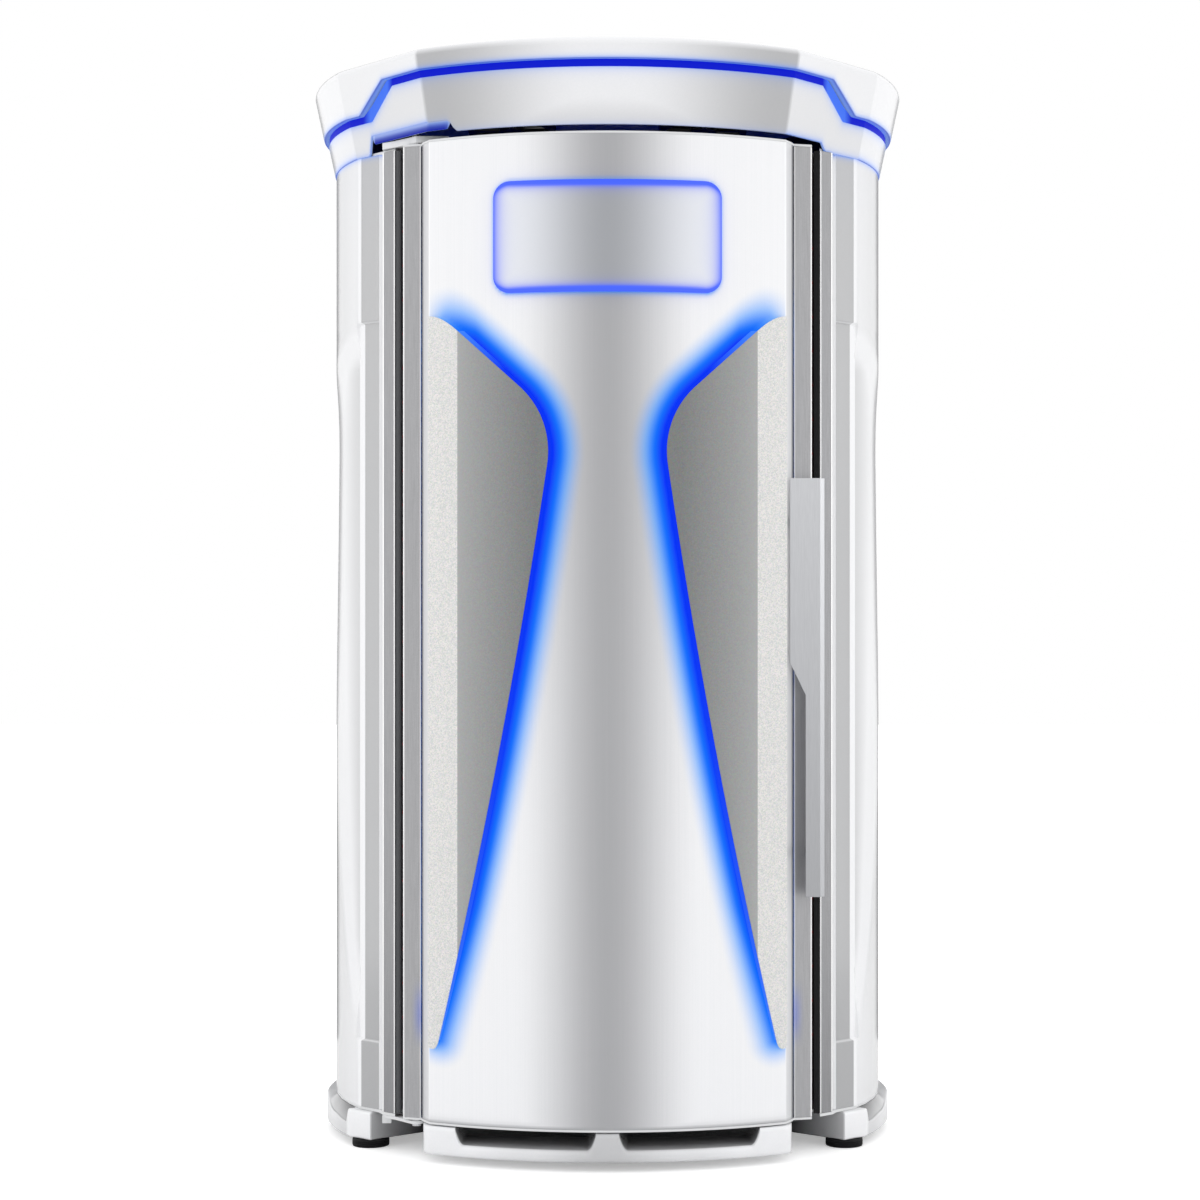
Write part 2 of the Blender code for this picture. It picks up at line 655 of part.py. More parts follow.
# Rear panel between the side shells
rear_seam = REAR_SEAM_ANGLE + math.degrees(0.5 * SHELL_SEAM / BODY_RADIUS)
rear_outline = arc(BODY_RADIUS, rear_seam, 180.0 - rear_seam, 12)
rear_outline += arc(BODY_RADIUS - SHELL_WALL, 180.0 - rear_seam, rear_seam, 12)
add_piece("rear_panel", prism(rear_outline, body_bottom, body_top), WHITE_GLOSS)

# Posts: aluminium extrusions that carry the ceiling, two beside the door and two behind the rear seams
post_outline = [(post_inner_x, post_front_y), (post_outer_x, post_front_y + POST_SLANT)]
post_outline += [(post_outer_x, post_back_y), (post_inner_x, post_back_y)]
post_outline = chamfered(post_outline, POST_CHAMFER)
add_piece("front_post_right", prism(post_outline, body_bottom, body_top), SATIN_ALUMINIUM)
add_piece("front_post_left", prism(mirrored(post_outline), body_bottom, body_top), SATIN_ALUMINIUM)
rear_post_out = BODY_RADIUS - SHELL_WALL - REAR_POST_GAP
rear_post_in = rear_post_out - REAR_POST_SIZE
radial = Vector(polar(1.0, REAR_SEAM_ANGLE))
sideways = Vector((-radial.y, radial.x)) * 0.5 * REAR_POST_SIZE
rear_post = [radial * rear_post_out - sideways, radial * rear_post_out + sideways]
rear_post += [radial * rear_post_in + sideways, radial * rear_post_in - sideways]
rear_post = chamfered([tuple(point) for point in rear_post], POST_CHAMFER)
add_piece("rear_post_right", prism(rear_post, body_bottom, body_top), SATIN_ALUMINIUM)
add_piece("rear_post_left", prism(mirrored(rear_post), body_bottom, body_top), SATIN_ALUMINIUM)

# Seals in the gaps beside the door
hinge_seal_x = -(post_inner_x - SEAT - SEAL_RADIUS)
hinge_seal_y = post_front_y + SEAL_RADIUS
seal_profile = [(SEAL_RADIUS, body_bottom), (SEAL_RADIUS, body_top)]
add_piece("hinge_seal", turned(seal_profile, (hinge_seal_x, hinge_seal_y, 0.0), 12), GREY_RUBBER)
latch_seal_front = post_front_y + LATCH_SEAL_SETBACK
latch_seal_back = latch_seal_front + LATCH_SEAL_DEPTH
latch_seal_in = post_inner_x - SEAT - LATCH_SEAL_WIDTH
latch_seal_low = (latch_seal_in, latch_seal_front, body_bottom)
latch_seal_high = (post_inner_x - SEAT, latch_seal_back, body_top)
add_piece("latch_seal", box(latch_seal_low, latch_seal_high), BLACK_RUBBER)

# Canopy plan: a circle with a facet at each front corner, a flatter front and a flattened back
lower_radius = BODY_RADIUS + CANOPY_LAP
canopy_radius = lower_radius + CANOPY_FLARE * (CANOPY_HEIGHT - CANOPY_ROUND) + COVE_OVERHANG
arch_right = post_inner_x + ARCH_BEYOND_POST
notch_left = -(post_outer_x + NOTCH_BEYOND_POST)
notch_right = pivot_x + NOTCH_PAST_PIVOT
ARCH_KNOTS = [(notch_left, 0.0), (notch_left + ARCH_RAMP, PIVOT_NOTCH), (notch_right, PIVOT_NOTCH)]
ARCH_KNOTS += [(notch_right + ARCH_RAMP, DOOR_ARCH), (arch_right - ARCH_RAMP, DOOR_ARCH), (arch_right, 0.0)]
GROOVE_FLOOR_SLANT = (0.40, 0.73)  # along a facet, where the groove's lower edge comes down
GROOVE_ROOF_SLANT = (0.45, 0.81)   # and its upper edge
GROOVE_STEPS = 10
FRONT_STEPS = 5
STATION_SPACING = 0.01   # least share between two stations
ROUND_STEPS = 16         # from a facet to the back's middle


def canopy_point(radius, station):
    """Plan point of the canopy outline of a given size at a station round it."""
    kind, value, sign = station
    front_corner = polar(radius, FACET_FRONT_ANGLE)
    back_corner = polar(radius, FACET_BACK_ANGLE)
    if kind == "front":
        nose = radius - CANOPY_FLAT
        bulge = nose + front_corner[1]
        bow = (front_corner[0] ** 2 + bulge ** 2) / (2.0 * bulge)
        x = value * front_corner[0]
        return (sign * x, -nose + bow - math.sqrt(bow ** 2 - x ** 2))
    if kind == "facet":
        x = front_corner[0] + (back_corner[0] - front_corner[0]) * value
        y = front_corner[1] + (back_corner[1] - front_corner[1]) * value
        return (sign * x, y)
    x, y = polar(radius, value)
    swell = max(0.0, radius - lower_radius) / (canopy_radius - lower_radius)
    return (sign * x, min(y, radius - CANOPY_FLAT * swell))


def station_at(x):
    """The station on the front or a facet that lies at a sideways place on the lower edge."""
    front_x = polar(lower_radius, FACET_FRONT_ANGLE)[0]
    back_x = polar(lower_radius, FACET_BACK_ANGLE)[0]
    sign = 1.0 if x >= 0.0 else -1.0
    if abs(x) <= front_x:
        return ("front", abs(x) / front_x, sign)
    return ("facet", min(1.0, (abs(x) - front_x) / (back_x - front_x)), sign)


def half_stations(sign):
    """Stations from the front middle to the back middle on one side."""
    stations = [("front", i / FRONT_STEPS, sign) for i in range(FRONT_STEPS)] + [("facet", 0.0, sign)]
    start = GROOVE_FLOOR_SLANT[0]
    end = GROOVE_ROOF_SLANT[1]
    stations += [("facet", start + (end - start) * i / GROOVE_STEPS, sign) for i in range(GROOVE_STEPS + 1)]
    stations += [("facet", share, sign) for share in (GROOVE_FLOOR_SLANT[1], GROOVE_ROOF_SLANT[0])]
    stations += [station_at(x) for x, _ in ARCH_KNOTS if x * sign > 0.0]
    order = {"front": 0, "facet": 1}
    stations.sort(key=lambda station: (order[station[0]], station[1]))
    spaced = [stations[0]]
    for station in stations[1:]:
        if station[0] != spaced[-1][0] or station[1] - spaced[-1][1] > STATION_SPACING:
            spaced.append(station)
    for step in range(ROUND_STEPS + 1):
        angle = FACET_BACK_ANGLE + (90.0 - FACET_BACK_ANGLE) * step / ROUND_STEPS
        spaced.append(("round", angle, sign))
    return spaced


right_stations = half_stations(1.0)
left_stations = half_stations(-1.0)
canopy_stations = right_stations + left_stations[::-1][1:-1]


def groove_drop(station, slant):
    """How far a light groove that comes down over a stretch of the facet is below the top."""
    if station[0] == "front":
        return GROOVE_FRONT_DROP
    if station[0] == "round":
        return GROOVE_SIDE_DROP
    return interpolate(station[1], [(slant[0], GROOVE_FRONT_DROP), (slant[1], GROOVE_SIDE_DROP)])


def groove_floor(station):
    """Height of the light groove's lower edge at a station."""
    return canopy_top - groove_drop(station, GROOVE_FLOOR_SLANT) - 0.5 * GROOVE_HEIGHT


def groove_roof(station):
    """Height of the light groove's upper edge at a station."""
    return canopy_top - groove_drop(station, GROOVE_ROOF_SLANT) + 0.5 * GROOVE_HEIGHT


def lower_edge(station):
    """Height of the canopy's lower edge at a station."""
    if station[0] == "round":
        return canopy_bottom
    x = canopy_point(lower_radius, station)[0]
    return canopy_bottom + interpolate(x, ARCH_KNOTS)


def flare(level):
    """Radius of the lower shell's outer face at a height."""
    return lower_radius + CANOPY_FLARE * (level - canopy_bottom)


def canopy_ring(profile_at):
    """A ring swept round the canopy from a (radius, height) profile for each station."""
    sections = []
    for station in canopy_stations:
        section = []
        for radius, level in profile_at(station):
            x, y = canopy_point(radius, station)
            section.append((x, y, level))
        sections.append(section)
    return sweep(sections, closed=True)


def lower_profile(station):
    """Wall of the lower shell with the shelf under the light strip."""
    edge = lower_edge(station)
    shelf = groove_floor(station)
    under = shelf - CANOPY_WALL
    inside = flare(shelf) - CANOPY_LIP - STRIP_DEPTH
    profile = [(flare(edge), edge), (flare(shelf), shelf), (inside, shelf), (inside, under)]
    return profile + [(flare(under) - CANOPY_WALL, under), (flare(edge) - CANOPY_WALL, edge)]


def strip_profile(station):
    """Light strip that fills the groove between the two shells."""
    bottom = groove_floor(station) + SEAT
    top = groove_roof(station) - SEAT
    outer = flare(bottom) - STRIP_RECESS
    return [(outer, bottom), (outer, top), (outer - STRIP_DEPTH, top), (outer - STRIP_DEPTH, bottom)]


def upper_profile(station):
    """Rim of the upper shell: lip over the strip, flared wall, rounded edge and top flange."""
    lip = groove_roof(station)
    shoulder = canopy_top - CANOPY_ROUND
    side = flare(shoulder) + COVE_OVERHANG
    inner = lip + CANOPY_WALL
    outer_lip = flare(lip) + COVE_OVERHANG
    profile = [(outer_lip, lip), (side, shoulder)]
    bent = CANOPY_ROUND * math.sqrt(0.5)
    profile += [(side - CANOPY_ROUND + bent, shoulder + bent), (side - CANOPY_ROUND, canopy_top)]
    profile += [(side - CANOPY_FLANGE, canopy_top), (side - CANOPY_FLANGE, canopy_top - CANOPY_WALL)]
    profile += [(side - CANOPY_ROUND, canopy_top - CANOPY_WALL)]
    profile += [(flare(inner) + COVE_OVERHANG - CANOPY_WALL, inner)]
    return profile + [(outer_lip - CANOPY_LIP, inner), (outer_lip - CANOPY_LIP, lip)]


add_piece("canopy_lower_shell", canopy_ring(lower_profile), WHITE_GLOSS)
add_piece("canopy_light_strip", canopy_ring(strip_profile), BLUE_LIGHT)
add_piece("canopy_upper_shell", canopy_ring(upper_profile), WHITE_GLOSS)

# Ceiling plate on the posts, inside the canopy's lower edge and clear of the door's swing
ceiling_radius = lower_radius - CANOPY_WALL - CEILING_INSET
facet_front = polar(ceiling_radius, FACET_FRONT_ANGLE)
facet_back = polar(ceiling_radius, FACET_BACK_ANGLE)
along_facet = (post_inner_x - facet_front[0]) / (facet_back[0] - facet_front[0])
ceiling_corner_y = facet_front[1] + (facet_back[1] - facet_front[1]) * along_facet
ceiling_half = door_arc(doorway_radius, 0.0, post_inner_x, 8)
ceiling_half += [(post_inner_x, ceiling_corner_y)]
ceiling_half += arc(ceiling_radius, FACET_BACK_ANGLE, 90.0, ROUND_STEPS)
add_piece("ceiling_plate", prism(both_sides(ceiling_half), ceiling_bottom, ceiling_top), WHITE_STEEL)

# Roof cover under the canopy's top flange, with two fan outlets
roof_radius = canopy_radius - CANOPY_FLANGE + ROOF_LAP
roof_outline = [canopy_point(roof_radius, station) for station in canopy_stations]
roof_cover = add_piece("roof_cover", prism(roof_outline, roof_bottom, roof_top), WHITE_GLOSS)

# Extractor fans under the roof cover: a square frame with struts, and a rotor on its motor boss
fan_top = roof_bottom - SEAT
fan_bottom = fan_top - FAN_HEIGHT
rotor_bottom = fan_bottom + FAN_BASE + SEAT
rotor_top = fan_top - FAN_TIP_GAP
ROTOR_TWIST = 28.0
ROTOR_LEVELS = 4
BLADE_ROOT = 3.0         # half a blade in degrees at the hub
BLADE_TIP = 1.2          # and at its tip
HUB_STEP = 24.0
STRUT_HALF_ANGLE = 7.0


def rotor_shape(centre_x, centre_y):
    """Hub and twisted blades as one body."""
    sections = []
    tip = FAN_BORE - FAN_TIP_GAP
    blade_plan = [(FAN_HUB, -BLADE_ROOT), (tip, -BLADE_TIP), (tip, BLADE_TIP), (FAN_HUB, BLADE_ROOT)]
    blade_plan.append((FAN_HUB, HUB_STEP))
    for step in range(ROTOR_LEVELS):
        share = step / (ROTOR_LEVELS - 1)
        level = rotor_bottom + (rotor_top - rotor_bottom) * share
        section = []
        for blade in range(FAN_BLADES):
            middle = 360.0 * blade / FAN_BLADES + ROTOR_TWIST * share
            for radius, swing in blade_plan:
                x, y = polar(radius, middle + swing)
                section.append((centre_x + x, centre_y + y, level))
        sections.append(section)
    return sweep(sections, closed=False)


for side, sign in (("left", -1.0), ("right", 1.0)):
    fan_x = sign * FAN_OFFSET_X
    half_fan = 0.5 * FAN_SIZE
    frame_low = (fan_x - half_fan, FAN_OFFSET_Y - half_fan, fan_bottom)
    frame_high = (fan_x + half_fan, FAN_OFFSET_Y + half_fan, fan_top)
    fan_frame = add_piece("fan_frame_" + side, box(frame_low, frame_high), BLACK_PLASTIC)
    bore_profile = [(FAN_BORE, fan_bottom + FAN_BASE), (FAN_BORE, fan_top + CUTTER_RUN)]
    bore = turned(bore_profile, (fan_x, FAN_OFFSET_Y, 0.0), 32)
    cut(fan_frame, add_cutter("fan_bore_" + side, bore))
    for quarter in range(4):
        start = 90.0 * quarter + STRUT_HALF_ANGLE
        end = 90.0 * (quarter + 1) - STRUT_HALF_ANGLE
        window = arc(FAN_BORE - FAN_LEDGE, start, end, 8, (fan_x, FAN_OFFSET_Y))
        window += arc(FAN_HUB, end, start, 4, (fan_x, FAN_OFFSET_Y))
        shape = prism(window, fan_bottom - CUTTER_RUN, roof_top + CUTTER_RUN)
        window_cutter = add_cutter(f"fan_window_{side}_{quarter}", shape)
        cut(fan_frame, window_cutter)
        cut(roof_cover, window_cutter)
    fan_pivot = add_pivot("fan_axis_" + side, (fan_x, FAN_OFFSET_Y, rotor_bottom))
    add_piece("fan_rotor_" + side, rotor_shape(fan_x, FAN_OFFSET_Y), BLACK_PLASTIC, fan_pivot)

# Light driver on the ceiling plate
driver_low = (-0.5 * DRIVER_LENGTH, -DRIVER_WIDTH, ceiling_top + SEAT)
driver_high = (0.5 * DRIVER_LENGTH, 0.0, ceiling_top + SEAT + DRIVER_HEIGHT)
add_piece("light_driver", box(driver_low, driver_high), PAINTED_STEEL)

# Wall light boards standing round the cabin, and the clear covers in front of them
wall_top = ceiling_bottom - SEAT
for board in range(BOARD_COUNT):
    start = Vector(polar(board_ring, BOARD_FIRST_ANGLE + board_span * board))
    end = Vector(polar(board_ring, BOARD_FIRST_ANGLE + board_span * (board + 1)))
    along = (end - start).normalized()
    outward = Vector((along.y, -along.x)) * BOARD_THICKNESS
    start = start + along * 0.5 * BOARD_GAP
    end = end - along * 0.5 * BOARD_GAP
    outline = [tuple(start), tuple(start + outward), tuple(end + outward), tuple(end)]
    add_piece(f"wall_light_board_{board + 1}", prism(outline, body_bottom, wall_top), BOARD_WHITE)
COVER_NAMES = ("right", "rear", "left")
cover_span = board_span * BOARD_COUNT / len(COVER_NAMES)
for index, name in enumerate(COVER_NAMES):
    start = BOARD_FIRST_ANGLE + cover_span * index + 0.5 * COVER_JOINT
    end = BOARD_FIRST_ANGLE + cover_span * (index + 1) - 0.5 * COVER_JOINT
    outline = arc(cover_radius, start, end, 9) + arc(cover_radius - COVER_THICKNESS, end, start, 9)
    add_piece("wall_cover_" + name, prism(outline, body_bottom, wall_top), CLEAR_ACRYLIC)

# Control box on the right post's back, with a sprung stop button facing the user
control_right = post_outer_x - CONTROL_INSET
control_left = control_right - CONTROL_DEPTH
control_front = post_back_y + SEAT
control_low = (control_left, control_front, CONTROL_CENTRE - 0.5 * CONTROL_HEIGHT)
control_high = (control_right, control_front + CONTROL_WIDTH, CONTROL_CENTRE + 0.5 * CONTROL_HEIGHT)
control_box = add_piece("control_box", box(control_low, control_high), GREY_PLASTIC)
button_place = (control_left, control_front + 0.5 * CONTROL_WIDTH, CONTROL_CENTRE)
button_back = -BUTTON_REST_GAP
button_front = button_back - BUTTON_HEAD
stem_end = button_back + BUTTON_STEM
button_profile = [(BUTTON_RADIUS - BUTTON_EDGE, button_front), (BUTTON_RADIUS, button_front + BUTTON_EDGE)]
button_profile += [(BUTTON_RADIUS, button_back), (BUTTON_STEM_RADIUS, button_back)]
button_profile += [(BUTTON_STEM_RADIUS, stem_end)]
button_pivot = add_pivot("stop_button_axis", button_place)
add_piece("stop_button", turned(button_profile, button_place, 20, "X"), RED_PLASTIC, button_pivot)
stem_radius = BUTTON_STEM_RADIUS + PIVOT_PLAY
stem_bore = [(stem_radius, -CUTTER_RUN), (stem_radius, stem_end + BUTTON_TRAVEL + BUTTON_END_GAP)]
cut(control_box, add_cutter("button_bore", turned(stem_bore, button_place, 20, "X")))

# Power gland low on the rear panel: a ring round the cable hole
gland_bore = 0.5 * GLAND_RADIUS
gland_face = BODY_RADIUS + SEAT
gland_centre = body_bottom + GLAND_LEVEL
gland_profile = [(gland_bore, 0.0), (GLAND_RADIUS, 0.0)]
gland_profile += [(GLAND_RADIUS, GLAND_FLANGE), (gland_bore, GLAND_REACH)]
gland_sections = []
for x, z in arc(1.0, 0.0, 360.0 - 360.0 / GLAND_SIDES, GLAND_SIDES - 1):
    section = []
    for radius, reach in gland_profile:
        section.append((x * radius, gland_face + reach, gland_centre + z * radius))
    gland_sections.append(section)
add_piece("power_gland", sweep(gland_sections, closed=True), BLACK_PLASTIC)

# Door: everything below hangs on the pivot axis in the hinge stile
door_pivot = add_pivot("door_axis", (pivot_x, pivot_y, door_bottom))
bore_profile = [(PIN_RADIUS + PIVOT_PLAY, 0.0), (PIN_RADIUS + PIVOT_PLAY, canopy_top)]
pivot_bore = add_cutter("pivot_bore", turned(bore_profile, (pivot_x, pivot_y, 0.0), 16))


def door_point(x, z, rise):
    """A point on the door's curved front, raised off the skin."""
    angle = math.degrees(math.asin(x / DOOR_RADIUS)) - 90.0
    place = polar(DOOR_RADIUS + rise, angle)
    return (place[0], door_centre_y + place[1], z)


# Skin: a bent sheet with a slanted return along each side
skin_inner_radius = DOOR_RADIUS - DOOR_SKIN
skin_outer = door_arc(DOOR_RADIUS, 0.0, DOOR_HALF_WIDTH, 10) + [(return_x, return_y)]
return_slope = Vector((DOOR_RETURN, RETURN_DEPTH)).normalized()
skin_inner_end = (return_x - return_slope.y * DOOR_SKIN, return_y + return_slope.x * DOOR_SKIN)
skin_inner = door_arc(skin_inner_radius, 0.0, DOOR_HALF_WIDTH - SKIN_CORNER, 10) + [skin_inner_end]
skin_outline = mirrored(skin_outer)[:-1] + skin_outer + skin_inner[::-1] + mirrored(skin_inner[::-1])[1:]
add_piece("door_skin", prism(skin_outline, door_frame_bottom, door_frame_top), PEARL_WHITE, door_pivot)

# Stiles: aluminium extrusions down both sides of the door, the hinge one bored for the pivot pins
stile_outline = [(stile_inner_x, stile_front_y), (stile_outer_x, stile_front_y + STILE_SLANT)]
stile_outline += [(stile_outer_x, stile_back_y), (stile_inner_x, stile_back_y)]
stile_outline = chamfered(stile_outline, STILE_CHAMFER)
latch_shape = prism(stile_outline, door_frame_bottom, door_frame_top)
add_piece("latch_stile", latch_shape, SATIN_ALUMINIUM, door_pivot)
hinge_shape = prism(mirrored(stile_outline), door_frame_bottom, door_frame_top)
hinge_stile = add_piece("hinge_stile", hinge_shape, SATIN_ALUMINIUM, door_pivot)
cut(hinge_stile, pivot_bore)

# Caps: plates across the door's top and bottom that tie skin, stiles and inner panel together
panel_outer_radius = DOOR_RADIUS - DOOR_DEPTH
panel_inner_radius = panel_outer_radius - DOOR_PANEL
cap_half = door_arc(DOOR_RADIUS, 0.0, DOOR_HALF_WIDTH, 10)
cap_half += [(return_x, return_y), (stile_inner_x, stile_front_y)]
cap_half += [(stile_outer_x, stile_front_y + STILE_SLANT), (stile_outer_x, stile_back_y)]
cap_half += [(stile_inner_x, stile_back_y)] + door_arc(panel_inner_radius, stile_inner_x, 0.0, 10)
cap_outline = both_sides(cap_half)
cap_shape = prism(cap_outline, door_bottom, door_bottom + DOOR_CAP)
bottom_cap = add_piece("door_bottom_cap", cap_shape, WHITE_STEEL, door_pivot)
cap_shape = prism(cap_outline, door_top - DOOR_CAP, door_top)
top_cap = add_piece("door_top_cap", cap_shape, WHITE_STEEL, door_pivot)
cut(bottom_cap, pivot_bore)
cut(top_cap, pivot_bore)

# Inner panel, light board and clear cover on the cabin side of the door
PANEL_STEPS = 16
panel_half = stile_inner_x - SEAT
panel_outline = door_arc(panel_outer_radius, -panel_half, panel_half, PANEL_STEPS)
panel_outline += door_arc(panel_inner_radius, panel_half, -panel_half, PANEL_STEPS)
panel_shape = prism(panel_outline, door_frame_bottom, door_frame_top)
add_piece("door_inner_panel", panel_shape, WHITE_STEEL, door_pivot)
lining_top = door_frame_top - LINING_MARGIN
lining_bottom = door_frame_bottom + LINING_MARGIN
half_facet = math.asin(panel_half / panel_inner_radius) / PANEL_STEPS
board_back = panel_inner_radius * math.cos(half_facet) - SEAT
board_half = DOOR_HALF_WIDTH - DOOR_BOARD_INSET
board_outline = door_arc(board_back, -board_half, board_half, 12)
board_outline += door_arc(board_back - BOARD_THICKNESS, board_half, -board_half, 12)
add_piece("door_light_board", prism(board_outline, lining_bottom, lining_top), BOARD_WHITE, door_pivot)
cover_half = DOOR_HALF_WIDTH - DOOR_COVER_INSET
cover_face = panel_inner_radius - DOOR_COVER_DEPTH
cover_outline = door_arc(board_back, cover_half, cover_half - COVER_THICKNESS, 1)
cover_outline += door_arc(cover_face + COVER_THICKNESS, cover_half - 2.0 * COVER_THICKNESS,
                          2.0 * COVER_THICKNESS - cover_half, 12)
cover_outline += door_arc(board_back, COVER_THICKNESS - cover_half, -cover_half, 1)
cover_outline += door_arc(cover_face, -cover_half, cover_half, 14)
add_piece("door_cover", prism(cover_outline, lining_bottom, lining_top), CLEAR_ACRYLIC, door_pivot)

# Wings: raised silver trims with a fold line, undercut along the inner edge for a light guide
wing_top = door_top - WING_BELOW_TOP
wing_tip = door_bottom + WING_ABOVE_BOTTOM
wing_outer_x = DOOR_HALF_WIDTH - WING_SIDE_INSET
SHOULDER_STEPS = 6
CREST_STEPS = 5
FLANK_STEPS = 8
WING_LIFT = 0.0012       # moulding's back over the skin, inside its edge
GUIDE_LIFT = 0.0009
FACE_COLUMNS = 5


def wing_edge_path():
    """Inner edge of the right wing as (x, z) points: fold corner, rounded shoulder, tip."""
    fold = Vector((WING_FOLD_X, wing_top - WING_FOLD_DROP))
    shoulder = Vector((WING_SHOULDER_X, wing_top - WING_SHOULDER_DROP))
    tip = Vector((WING_TIP_X, wing_tip + WING_TIP_ROUND))
    up = (fold - shoulder).normalized()
    down = Vector((WING_FLANK_LEAN, -1.0)).normalized()
    half_angle = 0.5 * up.angle(down)
    reach = WING_SHOULDER_RADIUS / math.tan(half_angle)
    centre = shoulder + (up + down).normalized() * WING_SHOULDER_RADIUS / math.sin(half_angle)
    begin = shoulder + up * reach - centre
    turn = math.pi - 2.0 * half_angle
    first = centre + begin
    points = [tuple(fold + (first - fold) * step / CREST_STEPS) for step in range(CREST_STEPS)]
    for step in range(SHOULDER_STEPS + 1):
        spoke = begin.copy()
        spoke.rotate(Matrix.Rotation(turn * step / SHOULDER_STEPS, 2))
        points.append(tuple(centre + spoke))
    last = Vector(points[-1])
    bend = last + down * 0.5 * (tip - last).length
    for step in range(1, FLANK_STEPS + 1):
        share = step / FLANK_STEPS
        points.append(tuple(last.lerp(bend, share).lerp(bend.lerp(tip, share), share)))
    return points


def wing_rise(x):
    """Height of the wing's face over the skin at a sideways place."""
    if x > WING_FOLD_X:
        share = (wing_outer_x - x) / (wing_outer_x - WING_FOLD_X)
        return WING_EDGE + (WING_FOLD_RISE - WING_EDGE) * share
    return WING_FOLD_RISE + WING_SLOPE * (WING_FOLD_X - x)


def wing_shape(sign):
    """The wing as a sheet moulding: face, rebate for the light guide, and seat on the skin."""
    path = wing_edge_path()
    rows = [(wing_outer_x - WING_TOP_WIDTH, wing_top), (WING_CREST_X, wing_top - WING_CREST_DROP)]
    rows += path + [(wing_outer_x - WING_TIP_WIDTH, wing_tip)]
    front = []
    back = []
    for x, z in rows:
        width = wing_outer_x - x
        rebate = x + min(GUIDE_REBATE, 0.5 * width)
        foot = rebate + min(REBATE_WALL, REBATE_SHARE * width)
        fold = max(WING_FOLD_X, 0.5 * (foot + wing_outer_x))
        inside = [foot + (fold - foot) * step / FACE_COLUMNS for step in range(FACE_COLUMNS)]
        columns = [x, rebate] + inside + [fold, 0.5 * (fold + wing_outer_x), wing_outer_x]
        under = [wing_rise(c) - WING_SHEET for c in columns[:2]]
        under += [WING_LIFT] * (len(columns) - 3) + [SEAT]
        front.append([door_point(sign * c, z, wing_rise(c)) for c in columns])
        back.append([door_point(sign * c, z, rise) for c, rise in zip(columns, under)])
    return slab(front, back)


def guide_shape(sign):
    """Light guide under the wing's inner edge, showing beside it."""
    path = wing_edge_path()
    sections = []
    for i, (x, z) in enumerate(path):
        before = Vector(path[max(i - 1, 0)])
        after = Vector(path[min(i + 1, len(path) - 1)])
        along = (after - before).normalized()
        shown = x - GUIDE_REACH / abs(along.y)
        hidden = x + min(GUIDE_REBATE, 0.5 * (wing_outer_x - x)) - GUIDE_GAP
        top = wing_rise(hidden + GUIDE_GAP) - WING_SHEET - SEAT
        sections.append([door_point(sign * shown, z, GUIDE_LIFT), door_point(sign * shown, z, top),
                         door_point(sign * hidden, z, top), door_point(sign * hidden, z, GUIDE_LIFT)])
    return sweep(sections, closed=False)


for side, sign in (("left", -1.0), ("right", 1.0)):
    add_piece("wing_trim_" + side, wing_shape(sign), SILVER_FILM, door_pivot)
    add_piece("wing_light_" + side, guide_shape(sign), BLUE_LIGHT, door_pivot)

# Sign plate, bare, on a light frame
sign_centre = door_top - SIGN_BELOW_TOP
CORNER_STEPS = 5
LONG_STEPS = 10


def rounded_rectangle(width, height, radius):
    """Outline of a rounded rectangle, anticlockwise, with its long sides in short steps."""
    points = []
    flat = width - 2.0 * radius
    for corner, (sx, sz) in enumerate(((1, 1), (-1, 1), (-1, -1), (1, -1))):
        for step in range(CORNER_STEPS + 1):
            x, z = polar(radius, 90.0 * corner + 90.0 * step / CORNER_STEPS)
            points.append((sx * (0.5 * width - radius) + x, sz * (0.5 * height - radius) + z))
        if corner in (0, 2):
            for step in range(1, LONG_STEPS):
                points.append((sx * (0.5 - step / LONG_STEPS) * flat, sz * 0.5 * height))
    return points


def sign_outline(inset):
    """The sign plate's outline drawn in by an inset."""
    return rounded_rectangle(SIGN_WIDTH - 2.0 * inset, SIGN_HEIGHT - 2.0 * inset, SIGN_CORNER - inset)


light_out = sign_outline(SIGN_LIGHT_INSET)
light_in = sign_outline(SIGN_LIGHT_INSET + SIGN_LIGHT_WIDTH)
sign_sections = []
for (xo, zo), (xi, zi) in zip(light_out, light_in):
    outer = [door_point(xo, sign_centre + zo, rise) for rise in (GUIDE_LIFT, SIGN_LIGHT)]
    inner = [door_point(xi, sign_centre + zi, rise) for rise in (SIGN_LIGHT, GUIDE_LIFT)]
    sign_sections.append(outer + inner)
add_piece("sign_light_frame", sweep(sign_sections, closed=True), BLUE_LIGHT, door_pivot)
plate_back = SIGN_LIGHT + 2.0 * SEAT
sign_columns = []
sign_flat = SIGN_WIDTH - 2.0 * SIGN_CORNER
for step in range(CORNER_STEPS + 1):
    across, up = polar(SIGN_CORNER, 90.0 * step / CORNER_STEPS)
    sign_columns.append((0.5 * sign_flat + across, 0.5 * SIGN_HEIGHT - SIGN_CORNER + up))
for step in range(1, LONG_STEPS):
    sign_columns.append(((0.5 - step / LONG_STEPS) * sign_flat, 0.5 * SIGN_HEIGHT))
sign_columns += [(-x, up) for x, up in sign_columns[CORNER_STEPS::-1]]
plate_front = []
plate_rear = []
for direction in (1.0, -1.0):
    edge = [(x, sign_centre + direction * up) for x, up in sign_columns]
    plate_front.append([door_point(x, z, plate_back + SIGN_PLATE) for x, z in edge])
    plate_rear.append([door_point(x, z, plate_back) for x, z in edge])
add_piece("sign_plate", slab(plate_front, plate_rear), FROSTED_ACRYLIC, door_pivot)

